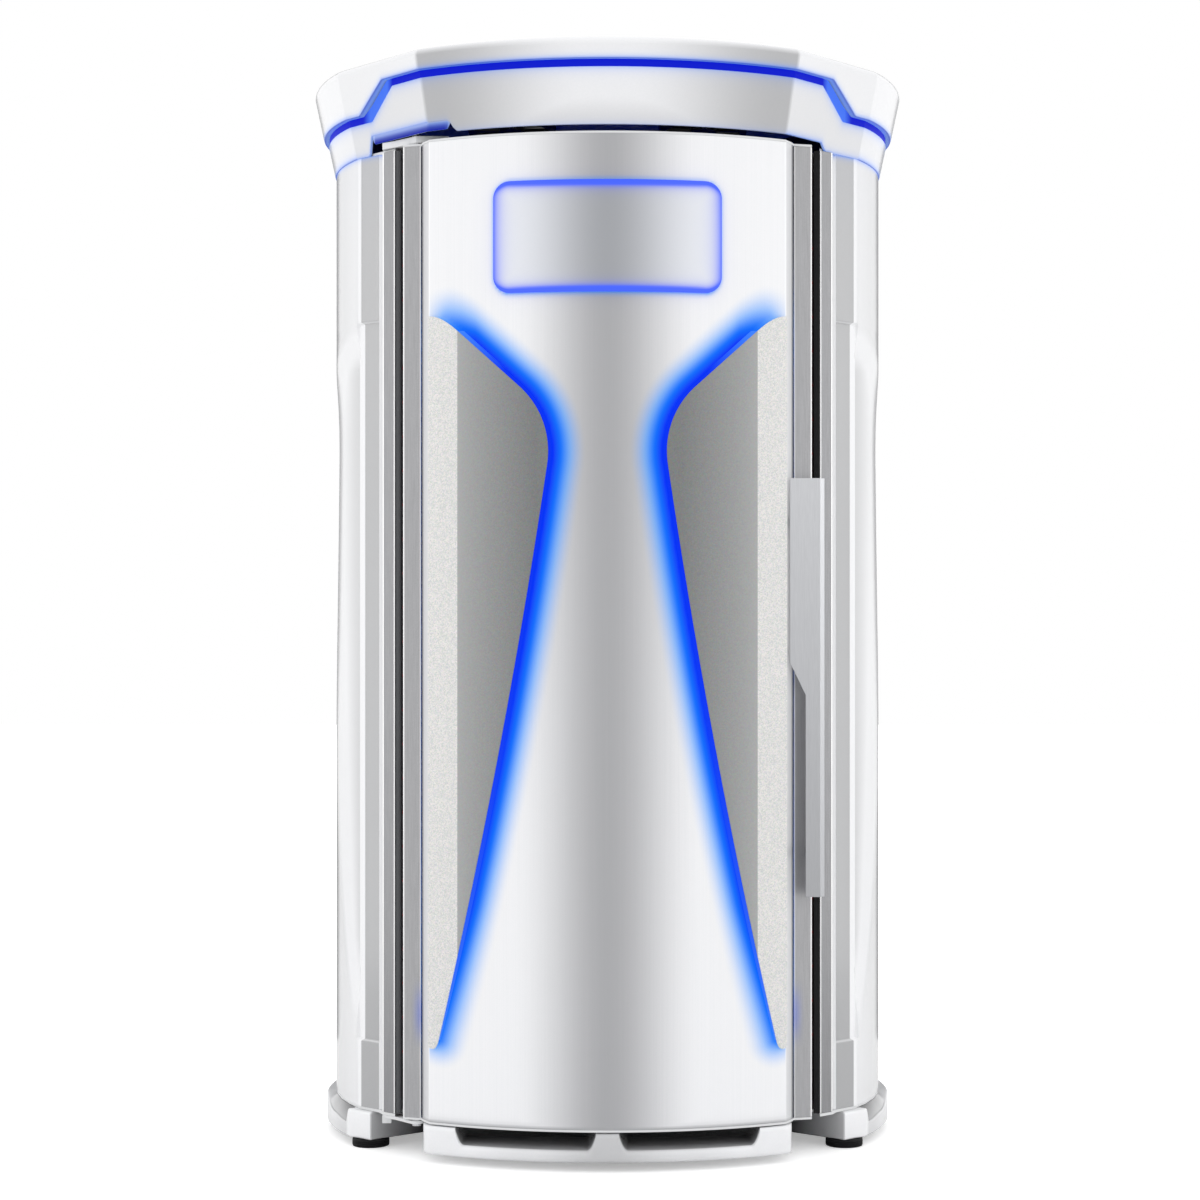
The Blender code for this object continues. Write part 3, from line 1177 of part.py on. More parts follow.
# Handle: a bent plate on two stand-off posts, overhanging the latch gap for the fingers
handle_left = stile_inner_x - HANDLE_OVER_PANEL
handle_low_left = handle_left + HANDLE_NARROWING
handle_right = stile_outer_x + HANDLE_OVERHANG
handle_back = stile_front_y - HANDLE_STANDOFF
handle_front = handle_back - HANDLE_PLATE
handle_sections = []
handle_bottom = door_bottom + HANDLE_RAISE
handle_top = handle_bottom + HANDLE_LENGTH
handle_levels = [handle_bottom + rise for rise in (0.0, HANDLE_STEP_LOW, HANDLE_STEP_HIGH, HANDLE_LENGTH)]
handle_lefts = (handle_low_left, handle_low_left, handle_left, handle_left)
bend = handle_right - HANDLE_BEVEL
for level, left in zip(handle_levels, handle_lefts):
    plan = [(left, handle_front), (bend, handle_front), (handle_right, handle_front + HANDLE_BEND)]
    plan += [(handle_right, handle_back + HANDLE_BEND), (bend, handle_back), (left, handle_back)]
    handle_sections.append([(x, y, level) for x, y in plan])
handle = add_piece("door_handle", sweep(handle_sections, closed=False), SATIN_ALUMINIUM, door_pivot)
grip_post_x = handle_low_left + HANDLE_POST_RADIUS + HANDLE_POST_INSET
stile_share = (grip_post_x - HANDLE_POST_RADIUS - stile_inner_x) / STILE_WIDTH
grip_post_end = stile_front_y + STILE_SLANT * stile_share - SEAT
last_side = 360.0 - 360.0 / HANDLE_POST_SIDES
for index, level in enumerate((handle_bottom + HANDLE_POST_FROM_END, handle_top - HANDLE_POST_FROM_END)):
    ring = arc(HANDLE_POST_RADIUS, 0.0, last_side, HANDLE_POST_SIDES - 1, (grip_post_x, level))
    post_shape = prism_y(ring, handle_back - HANDLE_POST_BITE, grip_post_end)
    grip_post = add_cutter(f"grip_post_{index}", post_shape)
    fuse(handle, grip_post)

# Magnetic catch on the right post, and its strike plate on the latch stile's back
strike_back = stile_back_y + SEAT + STRIKE_THICKNESS
catch_centre = CONTROL_CENTRE
strike_low = (stile_inner_x + STRIKE_MARGIN, stile_back_y + SEAT, catch_centre - 0.5 * CATCH_HEIGHT)
strike_high = (stile_outer_x - STRIKE_MARGIN, strike_back, catch_centre + 0.5 * CATCH_HEIGHT)
add_piece("strike_plate", box(strike_low, strike_high), BRIGHT_STEEL, door_pivot)
catch_front = strike_back + CATCH_GAP
catch_in = stile_inner_x + CATCH_INSET
catch_out = post_inner_x - SEAT
catch_shoulder = latch_seal_in - CATCH_SEAL_GAP
catch_step = latch_seal_back + CATCH_SEAL_GAP
catch_back = catch_step + CATCH_DEPTH
catch_outline = [(catch_in, catch_front), (catch_shoulder, catch_front), (catch_shoulder, catch_step)]
catch_outline += [(catch_out, catch_step), (catch_out, catch_back), (catch_in, catch_back)]
catch_low = catch_centre - 0.5 * CATCH_HEIGHT
catch_shape = prism(catch_outline, catch_low, catch_low + CATCH_HEIGHT)
add_piece("catch_magnet", catch_shape, GREY_PLASTIC)

# Pivot brackets at the left post: a rounded arm under the deck, and a bar above the ceiling plate
bracket_back = post_back_y - BRACKET_SETBACK
bracket_top = deck_bottom - SEAT
arm = [(-post_outer_x, post_front_y + POST_SLANT), (-post_inner_x, post_front_y)]
arm += arc(BRACKET_NOSE, NOSE_START, NOSE_END, 12, (pivot_x, pivot_y))
arm += [(-post_inner_x, bracket_back), (-post_outer_x, bracket_back)]
bracket_bottom = bracket_top - BRACKET_THICKNESS
lower_bracket = add_piece("lower_pivot_bracket", prism(arm, bracket_bottom, bracket_top), WHITE_STEEL)
cut(lower_bracket, pivot_bore)
lug_front = post_front_y + LUG_DEPTH
lug_low = (-post_outer_x, lug_front, bracket_bottom - LUG_DROP)
lug_high = (LUG_WIDTH - post_outer_x, lug_front + LUG_DEPTH, bracket_top - 0.5 * BRACKET_THICKNESS)
fuse(lower_bracket, add_cutter("bracket_lug", box(lug_low, lug_high)))
bar_bottom = ceiling_top + SEAT
bar_end = pivot_x + UPPER_BAR_LENGTH
bar_top = bar_bottom + UPPER_BAR_THICKNESS
bar_front = pivot_y - BRACKET_NOSE
bar = [(-post_outer_x, post_front_y + POST_SLANT), (-post_inner_x, post_front_y), (pivot_x, bar_front)]
bar += [(bar_end, bar_front), (bar_end, pivot_y + BRACKET_NOSE)]
bar += [(-post_inner_x, bracket_back), (-post_outer_x, bracket_back)]
upper_bracket = add_piece("upper_pivot_bracket", prism(bar, bar_bottom, bar_top), WHITE_STEEL)
cut(upper_bracket, pivot_bore)

# Pivot pins: head outside the bracket, thrust collar between bracket and door, spigot in the stile
PIN_HEAD = 0.009
PIN_HEAD_HEIGHT = 0.005
PIN_COLLAR = 0.011
PIN_REACH = 0.035
head = bracket_bottom - SEAT
collar = bracket_top + SEAT
spigot = door_bottom - SEAT
lower_pin = [(PIN_HEAD, head - PIN_HEAD_HEIGHT), (PIN_HEAD, head), (PIN_RADIUS, head)]
lower_pin += [(PIN_RADIUS, collar), (PIN_COLLAR, collar), (PIN_COLLAR, spigot)]
lower_pin += [(PIN_RADIUS, spigot), (PIN_RADIUS, door_bottom + PIN_REACH)]
add_piece("lower_pivot_pin", turned(lower_pin, (pivot_x, pivot_y, 0.0), 16), BRIGHT_STEEL)
spigot = door_top + SEAT
collar = bar_bottom - SEAT
head = bar_top + SEAT
upper_pin = [(PIN_RADIUS, door_top - PIN_REACH), (PIN_RADIUS, spigot), (PIN_COLLAR, spigot)]
upper_pin += [(PIN_COLLAR, collar), (PIN_RADIUS, collar), (PIN_RADIUS, head)]
upper_pin += [(PIN_HEAD, head), (PIN_HEAD, head + PIN_HEAD_HEIGHT)]
add_piece("upper_pivot_pin", turned(upper_pin, (pivot_x, pivot_y, 0.0), 16), BRIGHT_STEEL)
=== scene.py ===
"""Looks of a stand-up light therapy booth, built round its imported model.

Metres, +Z up, the door faces -Y. The sections follow the booth as it is put together.
"""

import math

import bmesh
import bpy
import numpy as np
from mathutils import Matrix, Vector


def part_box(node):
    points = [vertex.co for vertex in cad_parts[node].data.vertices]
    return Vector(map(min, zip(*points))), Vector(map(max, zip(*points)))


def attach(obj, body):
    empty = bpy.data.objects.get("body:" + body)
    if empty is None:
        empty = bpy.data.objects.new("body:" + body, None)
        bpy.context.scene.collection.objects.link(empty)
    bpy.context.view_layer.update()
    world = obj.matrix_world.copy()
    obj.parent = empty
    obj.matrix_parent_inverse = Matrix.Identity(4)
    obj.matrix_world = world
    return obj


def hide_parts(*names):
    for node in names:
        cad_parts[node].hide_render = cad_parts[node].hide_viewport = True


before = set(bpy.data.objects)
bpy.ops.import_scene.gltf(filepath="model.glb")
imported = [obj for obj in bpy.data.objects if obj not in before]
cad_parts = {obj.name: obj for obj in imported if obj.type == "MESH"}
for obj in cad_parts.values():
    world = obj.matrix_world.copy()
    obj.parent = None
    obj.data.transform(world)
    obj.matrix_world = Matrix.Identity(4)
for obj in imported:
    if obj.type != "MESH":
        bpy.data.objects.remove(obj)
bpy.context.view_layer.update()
scene = bpy.context.scene
scene.view_settings.view_transform = "Standard"

# The studio: a pale sweep of floor under an even white surround, with a tall softbox at each side of the
# booth, one above it and one behind, all at a low level so that white plastic stays just under white.
# Two grey boards behind the booth are seen only in reflections, where they draw its white sides' edges.


def linear(colour):
    """Linear RGBA of an sRGB hex colour."""
    channels = [int(colour[i:i + 2], 16) / 255.0 for i in (1, 3, 5)]
    channels = [c / 12.92 if c <= 0.04045 else ((c + 0.055) / 1.055) ** 2.4 for c in channels]
    return (*channels, 1.0)


def add_node(tree, kind, inputs=(), **settings):
    """Add a node, give it its settings, and fill or link its inputs."""
    made = tree.nodes.new(kind)
    for name, value in settings.items():
        setattr(made, name, value)
    for key, value in dict(inputs).items():
        if isinstance(value, bpy.types.NodeSocket):
            tree.links.new(value, made.inputs[key])
        else:
            made.inputs[key].default_value = value
    return made


def start_material(name):
    """A material, its tree and its Principled shader."""
    material = bpy.data.materials.new(name)
    material.use_nodes = True
    return material, material.node_tree, material.node_tree.nodes["Principled BSDF"]


surround = bpy.data.worlds.new("white_surround")
surround.use_nodes = True
background = surround.node_tree.nodes["Background"]
background.inputs["Color"].default_value = linear("#FFFFFF")
background.inputs["Strength"].default_value = 1.0
scene.world = surround

FLOOR_SIZE = 60.0
FLOOR_NEAR = (1.2, 0.36)  # metres from the booth, and the floor's own glow towards the camera there
FLOOR_FAR = (6.0, 0.85)   # the same far away, where the lamps no longer reach
floor_mesh = bpy.data.meshes.new("studio_floor")
half_floor = 0.5 * FLOOR_SIZE
corners = [(half_floor * x, half_floor * y, 0.0) for x, y in ((-1, -1), (1, -1), (1, 1), (-1, 1))]
floor_mesh.from_pydata(corners, [], [(0, 1, 2, 3)])
floor = bpy.data.objects.new("studio_floor", floor_mesh)
scene.collection.objects.link(floor)
material, tree, shader = start_material("white_floor_paint")
shader.inputs["Base Color"].default_value = linear("#F2F2F2")
shader.inputs["Roughness"].default_value = 0.9
shader.inputs["Emission Color"].default_value = linear("#FFFFFF")
path = add_node(tree, "ShaderNodeLightPath")
place = add_node(tree, "ShaderNodeTexCoord")
away = add_node(tree, "ShaderNodeVectorMath", {0: place.outputs["Object"]}, operation="LENGTH")
lift = add_node(tree, "ShaderNodeMapRange", {
    "Value": away.outputs["Value"], "From Min": FLOOR_NEAR[0], "To Min": FLOOR_NEAR[1],
    "From Max": FLOOR_FAR[0], "To Max": FLOOR_FAR[1]})
lift = add_node(tree, "ShaderNodeMath", operation="MULTIPLY", inputs={
    0: path.outputs["Is Camera Ray"], 1: lift.outputs["Result"]})
tree.links.new(lift.outputs[0], shader.inputs["Emission Strength"])
floor_mesh.materials.append(material)

FLAG_SPAN = (0.72, 1.12)  # the grey boards' two sides, sideways from the middle
FLAG_BEHIND = 1.2
FLAG_HEIGHT = 3.2
material, tree, shader = start_material("grey_velvet")
shader.inputs["Base Color"].default_value = linear("#5A5A5A")
shader.inputs["Roughness"].default_value = 1.0
for side, sign in (("left", -1.0), ("right", 1.0)):
    near, far = sign * FLAG_SPAN[0], sign * FLAG_SPAN[1]
    corners = [(near, 0.0), (far, 0.0), (far, FLAG_HEIGHT), (near, FLAG_HEIGHT)]
    flag_mesh = bpy.data.meshes.new("flag_" + side)
    flag_mesh.from_pydata([(x, FLAG_BEHIND, z) for x, z in corners], [], [(0, 1, 2, 3)])
    flag_mesh.materials.append(material)
    flag = bpy.data.objects.new("flag_" + side, flag_mesh)
    flag.visible_camera = False
    flag.visible_diffuse = False
    flag.visible_shadow = False
    flag.visible_transmission = False
    scene.collection.objects.link(flag)

LAMPS = {  # place, width and height, watts
    "softbox_left": ((-3.3, -0.2, 1.6), (0.45, 3.2), 10.0),
    "softbox_right": ((3.3, -0.2, 1.6), (0.45, 3.2), 10.0),
    "softbox_top": ((0.0, -0.6, 4.6), (2.6, 2.6), 4.0),
    "softbox_rear": ((0.0, 4.2, 2.2), (3.0, 3.0), 8.0),
}
BOOTH_MIDDLE = Vector((0.0, 0.0, 1.15))
for name, (place, size, watts) in LAMPS.items():
    lamp = bpy.data.lights.new(name, "AREA")
    lamp.shape = "RECTANGLE"
    lamp.size, lamp.size_y = size
    lamp.energy = watts
    lamp_object = bpy.data.objects.new(name, lamp)
    lamp_object.location = place
    lamp_object.rotation_euler = (BOOTH_MIDDLE - Vector(place)).to_track_quat("-Z", "Y").to_euler()
    lamp_object.visible_camera = False
    scene.collection.objects.link(lamp_object)

# The camera stands level in front of the door, as in the photograph. It is shifted rather than tilted, so
# that the booth's uprights stay upright.
CAMERA_PLACE = (0.0, -5.991, 1.074)
camera = bpy.data.cameras.new("photo_camera")
camera.lens = 79.4
camera.shift_x = -0.00625
camera.shift_y = 0.0383
camera_object = bpy.data.objects.new("photo_camera", camera)
camera_object.location = CAMERA_PLACE
camera_object.rotation_euler = (math.radians(90.0), 0.0, 0.0)
scene.collection.objects.link(camera_object)
scene.camera = camera_object

# Base tray: the moulded pan that the cabin stands on, with two front wings beside the door sill and a
# scooped curb. Gloss white ABS, vacuum formed: an even skin with a faint ripple and rounded edges, which
# takes painted shade and painted blue light where a piece stores them for its points.


def coordinates(tree, size):
    """Object coordinates counted in pattern sizes along x, y and z, given in metres."""
    place = add_node(tree, "ShaderNodeTexCoord")
    scale = [1.0 / step for step in size]
    counted = add_node(tree, "ShaderNodeMapping", {"Vector": place.outputs["Object"], "Scale": scale})
    return counted.outputs[0]


RIPPLE = (0.060, 0.060, 0.060)
MOTTLE = (0.004, 0.004, 0.004)
white_abs, tree, shader = start_material("gloss_white_abs")
ripple = add_node(tree, "ShaderNodeTexNoise", {"Vector": coordinates(tree, RIPPLE), "Scale": 1.0})
mottle = add_node(tree, "ShaderNodeTexNoise", {"Vector": coordinates(tree, MOTTLE), "Scale": 1.0})
# Painted shade darkens the colour, and painted blue light tints it and glows, by the values stored per
# point.
glow = add_node(tree, "ShaderNodeAttribute", attribute_name="glow")
shade = add_node(tree, "ShaderNodeAttribute", attribute_name="shade")
tint = add_node(tree, "ShaderNodeMix", data_type="RGBA", inputs={
    0: mottle.outputs["Fac"], 6: linear("#F0F1F3"), 7: linear("#F6F6F8")})
shaded = add_node(tree, "ShaderNodeMix", data_type="RGBA", inputs={
    0: shade.outputs["Fac"], 6: tint.outputs[2], 7: linear("#2A2A2C")})
lit = add_node(tree, "ShaderNodeMix", data_type="RGBA", inputs={
    0: glow.outputs["Fac"], 6: shaded.outputs[2], 7: linear("#05081A")})
bump = add_node(tree, "ShaderNodeBump", {
    "Height": ripple.outputs["Fac"], "Strength": 0.06, "Distance": 0.001})
tree.links.new(lit.outputs[2], shader.inputs["Base Color"])
tree.links.new(bump.outputs["Normal"], shader.inputs["Normal"])
near = add_node(tree, "ShaderNodeMapRange", {
    "Value": glow.outputs["Fac"], "From Min": 0.45, "From Max": 1.0})
beam = add_node(tree, "ShaderNodeMix", data_type="RGBA", inputs={
    0: near.outputs["Result"], 6: linear("#3A8CFF"), 7: linear("#0A12A0")})
tree.links.new(beam.outputs[2], shader.inputs["Emission Color"])
tree.links.new(glow.outputs["Fac"], shader.inputs["Emission Strength"])
dull = add_node(tree, "ShaderNodeMapRange", {
    "Value": glow.outputs["Fac"], "To Min": 0.4, "To Max": 0.02})
tree.links.new(dull.outputs["Result"], shader.inputs["Specular IOR Level"])
tree.links.new(dull.outputs["Result"], shader.inputs["Coat Weight"])
shader.inputs["Roughness"].default_value = 0.24
shader.inputs["Coat Roughness"].default_value = 0.12

SHARP_ANGLE = math.radians(32.0)
WELD = 1e-6


def closed_mesh(name, shape, sharp=SHARP_ANGLE):
    """A mesh from points and faces, with doubles merged, faces outward and edges over an angle crisp."""
    mesh = bpy.data.meshes.new(name)
    mesh.from_pydata(shape[0], [], shape[1])
    cleaned = bmesh.new()
    cleaned.from_mesh(mesh)
    bmesh.ops.remove_doubles(cleaned, verts=cleaned.verts, dist=WELD)
    bmesh.ops.recalc_face_normals(cleaned, faces=cleaned.faces)
    cleaned.to_mesh(mesh)
    cleaned.free()
    mesh.shade_smooth()
    mesh.set_sharp_from_angle(angle=sharp)
    return mesh


def make_piece(name, shape, material, body, node="", sharp=SHARP_ANGLE):
    """A mesh that rides on a body, takes a finish and may stand for a CAD node."""
    mesh = closed_mesh(name, shape, sharp)
    mesh.materials.append(material)
    piece = bpy.data.objects.new(name, mesh)
    scene.collection.objects.link(piece)
    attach(piece, body)
    if node:
        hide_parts(node)
    return piece


def polar(radius, degrees):
    """Plan point at an angle from +X."""
    angle = math.radians(degrees)
    return (radius * math.cos(angle), radius * math.sin(angle))


def loft(sections, closed=False):
    """Skin over a row of closed sections with equal counts, a ring or a run with capped ends."""
    count = len(sections[0])
    points = [point for section in sections for point in section]
    faces = []
    for i in range(len(sections) if closed else len(sections) - 1):
        here = i * count
        there = (i + 1) % len(sections) * count
        for j in range(count):
            k = (j + 1) % count
            faces.append((here + j, here + k, there + k, there + j))
    if not closed:
        faces += [tuple(range(count)), tuple(range(len(points) - count, len(points)))]
    return points, faces


def eased(value, knots):
    """Smooth value between (place, value) knots, held level beyond the ends."""
    if value <= knots[0][0]:
        return knots[0][1]
    for (start, low), (end, high) in zip(knots, knots[1:]):
        if value <= end:
            share = (value - start) / (end - start)
            return low + (high - low) * share * share * (3.0 - 2.0 * share)
    return knots[-1][1]


def both_sides(half):
    """A closed plan outline from its right half, which starts and ends on the middle line."""
    return half + [(-x, y) for x, y in half[-2:0:-1]]


tray_low, tray_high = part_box("base_tray")
body_low, body_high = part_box("rear_panel")
post_low, post_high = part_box("front_post_right")
BASE_CURB = 0.020        # tray proud of the body
TRAY_WALL = 0.030
TRAY_DECK = 0.008
TRAY_EDGE = 0.005        # rounding of the tray's edges
ROOT_INSIDE_POST = 0.0493  # where the front wings leave the front wall
TIP_BESIDE_POST = 0.0287  # the wings' inner tips
CORNER_BESIDE_POST = 0.0748  # and their outer corners
FRONT_BEHIND_POST = 0.078
FRONT_DRAW = 1.3         # front wall's draw per inset
TIP_DRAW = (0.2, 1.6)    # wing tips' draw per inset, sideways and back
base_radius = body_high.y + BASE_CURB
base_front_y = post_high.y + FRONT_BEHIND_POST
wing_root = post_low.x - ROOT_INSIDE_POST
wing_tip = Vector((post_high.x + TIP_BESIDE_POST, tray_low.y))
corner_x = post_high.x + CORNER_BESIDE_POST
wing_corner = Vector((corner_x, -math.sqrt(base_radius ** 2 - corner_x ** 2)))
corner_angle = math.degrees(math.atan2(wing_corner.y, wing_corner.x))
TIP_START = 0.96         # share of the front wall after which the wing's tip begins
SCOOP_START = 1.2        # degrees behind the wing's corner
SCOOP_STEEP = 2.3
CURB_DEPTH = 0.030
CURB_KNOTS = [(SCOOP_START, 0.0), (SCOOP_STEEP, 1.0), (12.0, 0.75), (26.0, 0.0)]
CURB_STEP = 0.9          # degrees between two stations of the scoop
curb_angles = [SCOOP_START, 0.5 * (SCOOP_START + SCOOP_STEEP), SCOOP_STEEP]
while curb_angles[-1] + corner_angle < 90.0 - 2.0 * CURB_STEP:
    curb_angles.append(curb_angles[-1] + CURB_STEP)


def tray_outline(inset):
    """The tray's plan, drawn in by an inset."""
    front = base_front_y + FRONT_DRAW * inset
    root = Vector((wing_root, front))
    tip = Vector((wing_tip.x - TIP_DRAW[0] * inset, wing_tip.y + TIP_DRAW[1] * inset))
    half = [(0.0, front), tuple(root), tuple(root.lerp(tip, TIP_START)), tuple(tip)]
    along = (wing_corner - wing_tip).normalized()
    start = wing_tip + Vector((-along.y, along.x)) * inset
    reach = start.dot(along)
    run = math.sqrt(reach ** 2 - start.length_squared + (base_radius - inset) ** 2) - reach
    half.append(tuple(start + along * run))
    half += [polar(base_radius - inset, corner_angle + angle) for angle in curb_angles]
    return both_sides(half + [(0.0, base_radius - inset)])


def quarter(radius, steps=5):
    """Offsets (in, up) of a rounded edge, from the face below it to the face on top."""
    turns = [0.5 * math.pi * step / steps for step in range(steps + 1)]
    return [(radius * (1.0 - math.cos(turn)), radius * math.sin(turn)) for turn in turns]


tray_rim = tray_outline(0.0)
tray_profile = [(TRAY_WALL, tray_high.z - TRAY_DECK, False), (TRAY_WALL, tray_low.z, False)]
tray_round = quarter(TRAY_EDGE)
tray_profile += [(inward, tray_low.z + TRAY_EDGE - up, False) for inward, up in reversed(tray_round)]
tray_profile += [(inward, tray_high.z - TRAY_EDGE + up, True) for inward, up in tray_round]
tray_profile += [(BASE_CURB, tray_high.z, False)]
tray_rings = []
for inset, level, scooped in tray_profile:
    ring = []
    for (x, y), (rim_x, rim_y) in zip(tray_outline(inset), tray_rim):
        turn = math.degrees(math.atan2(rim_y, abs(rim_x))) - corner_angle
        ring.append((x, y, level - (CURB_DEPTH * eased(turn, CURB_KNOTS) if scooped else 0.0)))
    tray_rings.append(ring)
tray = make_piece("tray_moulding", loft(tray_rings), white_abs, "cabinet", "base_tray")


def add_light(piece, glow, shade):
    """Store how much painted blue light and painted shade each point of a piece takes."""
    for name, values in (("glow", glow), ("shade", shade)):
        stored = piece.data.attributes.new(name, "FLOAT", "POINT")
        stored.data.foreach_set("value", np.asarray(values, float))


WALL_SHADE = (0.95, 0.48)  # on the front wall, beside the sill and at the wing's tip
TIP_CLEAR = 0.004        # width of the tip that takes no shade
SCOOP_FLOOR_SHADE = [(0.2 * TRAY_EDGE, 0.05), (TRAY_EDGE, 0.60), (BASE_CURB, 0.95)]  # by inset
CURB_SHADE = [(SCOOP_START, 0.0), (SCOOP_STEEP, 0.28), (12.0, 0.16), (26.0, 0.10)]   # by degrees
rim_level = tray_low.z + 2.5 * TRAY_EDGE  # the wall below this isn't the scoop's floor
wall_knots = [(wing_root, WALL_SHADE[0]), (wing_tip.x, WALL_SHADE[1])]
tray_shade = []
for vertex in tray.data.vertices:
    x, y, z = abs(vertex.co.x), vertex.co.y, vertex.co.z
    turn = math.degrees(math.atan2(y, x)) - corner_angle
    scooped = eased(turn, CURB_KNOTS)
    if turn > 0.0:
        inset = base_radius - math.hypot(x, y)
        on_floor = eased(inset, SCOOP_FLOOR_SHADE) if z > rim_level else 0.0
        tray_shade.append(max(scooped * on_floor, eased(turn, CURB_SHADE)))
    elif x < wing_tip.x - TIP_CLEAR:
        tray_shade.append(eased(x, wall_knots))
    else:
        tray_shade.append(0.0)
add_light(tray, np.zeros(len(tray_shade)), tray_shade)

# Feet: four ribbed rubber pads screwed up into the tray's rim, turned from one profile.
# Black rubber, matt, with the fine grain of a moulded part.
GRAIN = (0.0015, 0.0015, 0.0015)
black_rubber, tree, shader = start_material("black_moulded_rubber")
grain = add_node(tree, "ShaderNodeTexNoise", {"Vector": coordinates(tree, GRAIN), "Scale": 1.0})
tint = add_node(tree, "ShaderNodeMix", data_type="RGBA", inputs={
    0: grain.outputs["Fac"], 6: linear("#09090A"), 7: linear("#1A1A1C")})
bump = add_node(tree, "ShaderNodeBump", {
    "Height": grain.outputs["Fac"], "Strength": 0.3, "Distance": 0.0004})
tree.links.new(tint.outputs[2], shader.inputs["Base Color"])
tree.links.new(bump.outputs["Normal"], shader.inputs["Normal"])
shader.inputs["Roughness"].default_value = 0.62
shader.inputs["Specular IOR Level"].default_value = 0.2


def turned(profile, centre, axis="Z", sides=48):
    """A round solid from (radius, height) pairs along an axis, closed at both ends."""
    turn = {"Z": Matrix.Identity(3), "X": Matrix.Rotation(math.radians(90.0), 3, "Y")}[axis]
    rings = []
    for radius, height in profile:
        ring = []
        for side in range(sides):
            x, y = polar(radius, 360.0 * side / sides)
            ring.append(tuple(Vector(centre) + turn @ Vector((x, y, height))))
        rings.append(ring)
    return loft(rings)


FOOT_RIB = 0.0012        # depth of the grooves round a foot
FOOT_EDGE = 0.003
FOOT_RIBS = (0.22, 0.42, 0.62)  # where the grooves start, as shares of the foot's height
RIB_SLANT = 0.03         # a groove's slanted sides and its floor, in the same shares
RIB_FLOOR = 0.05
for place in ("front_left", "front_right", "rear_left", "rear_right"):
    low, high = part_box("foot_" + place)
    radius = 0.5 * (high.x - low.x)
    middle = 0.5 * (low + high)
    tall = high.z - low.z
    bulge = 0.3 * FOOT_EDGE
    profile = [(0.3 * radius, 0.0), (radius - FOOT_EDGE, 0.0), (radius - bulge, bulge)]
    for share in FOOT_RIBS:
        inner = share + RIB_SLANT
        outer = inner + RIB_FLOOR
        profile += [(radius, share * tall), (radius - FOOT_RIB, inner * tall)]
        profile += [(radius - FOOT_RIB, outer * tall), (radius, (outer + RIB_SLANT) * tall)]
    profile += [(radius - bulge, tall - bulge), (radius - FOOT_EDGE, tall)]
    shape = turned(profile, (middle.x, middle.y, low.z))
    make_piece("foot_pad_" + place, shape, black_rubber, "cabinet", "foot_" + place)

# Front sill: the curved threshold in front of the doorway, with two air notches either side of a rib.
# Gloss white ABS like the tray, with rounded rims; the notches run back under the doorway.
sill_low, sill_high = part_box("front_sill")
skin_low, skin_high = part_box("door_skin")
DOOR_RADIUS = 0.750
door_centre_y = skin_low.y + DOOR_RADIUS
sill_radius = door_centre_y - sill_low.y
SILL_RIB = 0.047
SILL_END_BLOCK = 0.069
SILL_NOTCH_FLOOR = 0.026  # above the sill's bottom
SILL_NOTCH_DEPTH = 0.230
SILL_NOTCH_SLANT = 0.020
SILL_NOTCH_ROUND = 2.2   # power of the round at a notch's end
SILL_EDGE = 0.010
SILL_END_ROUND = 0.018   # plan rounding of the sill's ends
notch_in = 0.5 * SILL_RIB
notch_out = sill_high.x - SILL_END_BLOCK
notch_back = sill_low.y + SILL_NOTCH_DEPTH


def door_arc(radius, start, end, steps):
    """Plan points along an arc round the door's centre of curvature, from one x to another."""
    turn = [math.asin(x / radius) for x in (start, end)]
    angles = [turn[0] + (turn[1] - turn[0]) * step / steps for step in range(steps + 1)]
    return [(radius * math.sin(angle), door_centre_y - radius * math.cos(angle)) for angle in angles]


def notch_depth(x):
    """How far the sill's top is cut down at a sideways place."""
    deep = sill_high.z - sill_low.z - SILL_NOTCH_FLOOR
    inside = min(abs(x) - notch_in, notch_out - abs(x)) / SILL_NOTCH_SLANT
    return deep * (1.0 - (1.0 - min(1.0, max(0.0, inside))) ** SILL_NOTCH_ROUND)


def sill_front(x):
    """The sill's front at a sideways place, drawn back round its ends."""
    past = max(0.0, abs(x) - sill_high.x + SILL_END_ROUND)
    drawn = SILL_END_ROUND - math.sqrt(SILL_END_ROUND ** 2 - past ** 2)
    return door_centre_y - math.sqrt(sill_radius ** 2 - x ** 2) + drawn


SLANT_STEPS = 8
FLOOR_STEPS = 20
slant = [SILL_NOTCH_SLANT * step / SLANT_STEPS for step in range(SLANT_STEPS + 1)]
span = notch_out - notch_in - 2.0 * SILL_NOTCH_SLANT
half_columns = [notch_in + aside for aside in slant]
half_columns += [half_columns[-1] + span * step / FLOOR_STEPS for step in range(1, FLOOR_STEPS + 1)]
half_columns += [notch_out - aside for aside in slant[-2::-1]]
half_columns += [sill_high.x - inward for inward, _ in reversed(quarter(SILL_END_ROUND))]
sill_round = quarter(SILL_EDGE)
sill_sections = []
for x in [-x for x in reversed(half_columns)] + half_columns:
    front = sill_front(x)
    top = sill_high.z - notch_depth(x)
    section = [(x, sill_high.y, sill_low.z)]
    section += [(x, front + inward, sill_low.z + SILL_EDGE - up) for inward, up in reversed(sill_round)]
    section += [(x, front + inward, top - SILL_EDGE + up) for inward, up in sill_round]
    section += [(x, notch_back, top), (x, notch_back, sill_high.z), (x, sill_high.y, sill_high.z)]
    sill_sections.append(section)
sill = make_piece("sill_moulding", loft(sill_sections), white_abs, "cabinet",
                  "front_sill")
NOTCH_SHADE = (0.45, 1.0)  # on the notches' floors, at the front and at the back
SILL_SHADE = [(0.0, 0.36), (0.17, 0.12), (0.30, 0.0)]  # sideways from the middle, and shade on the front
sill_shade = []
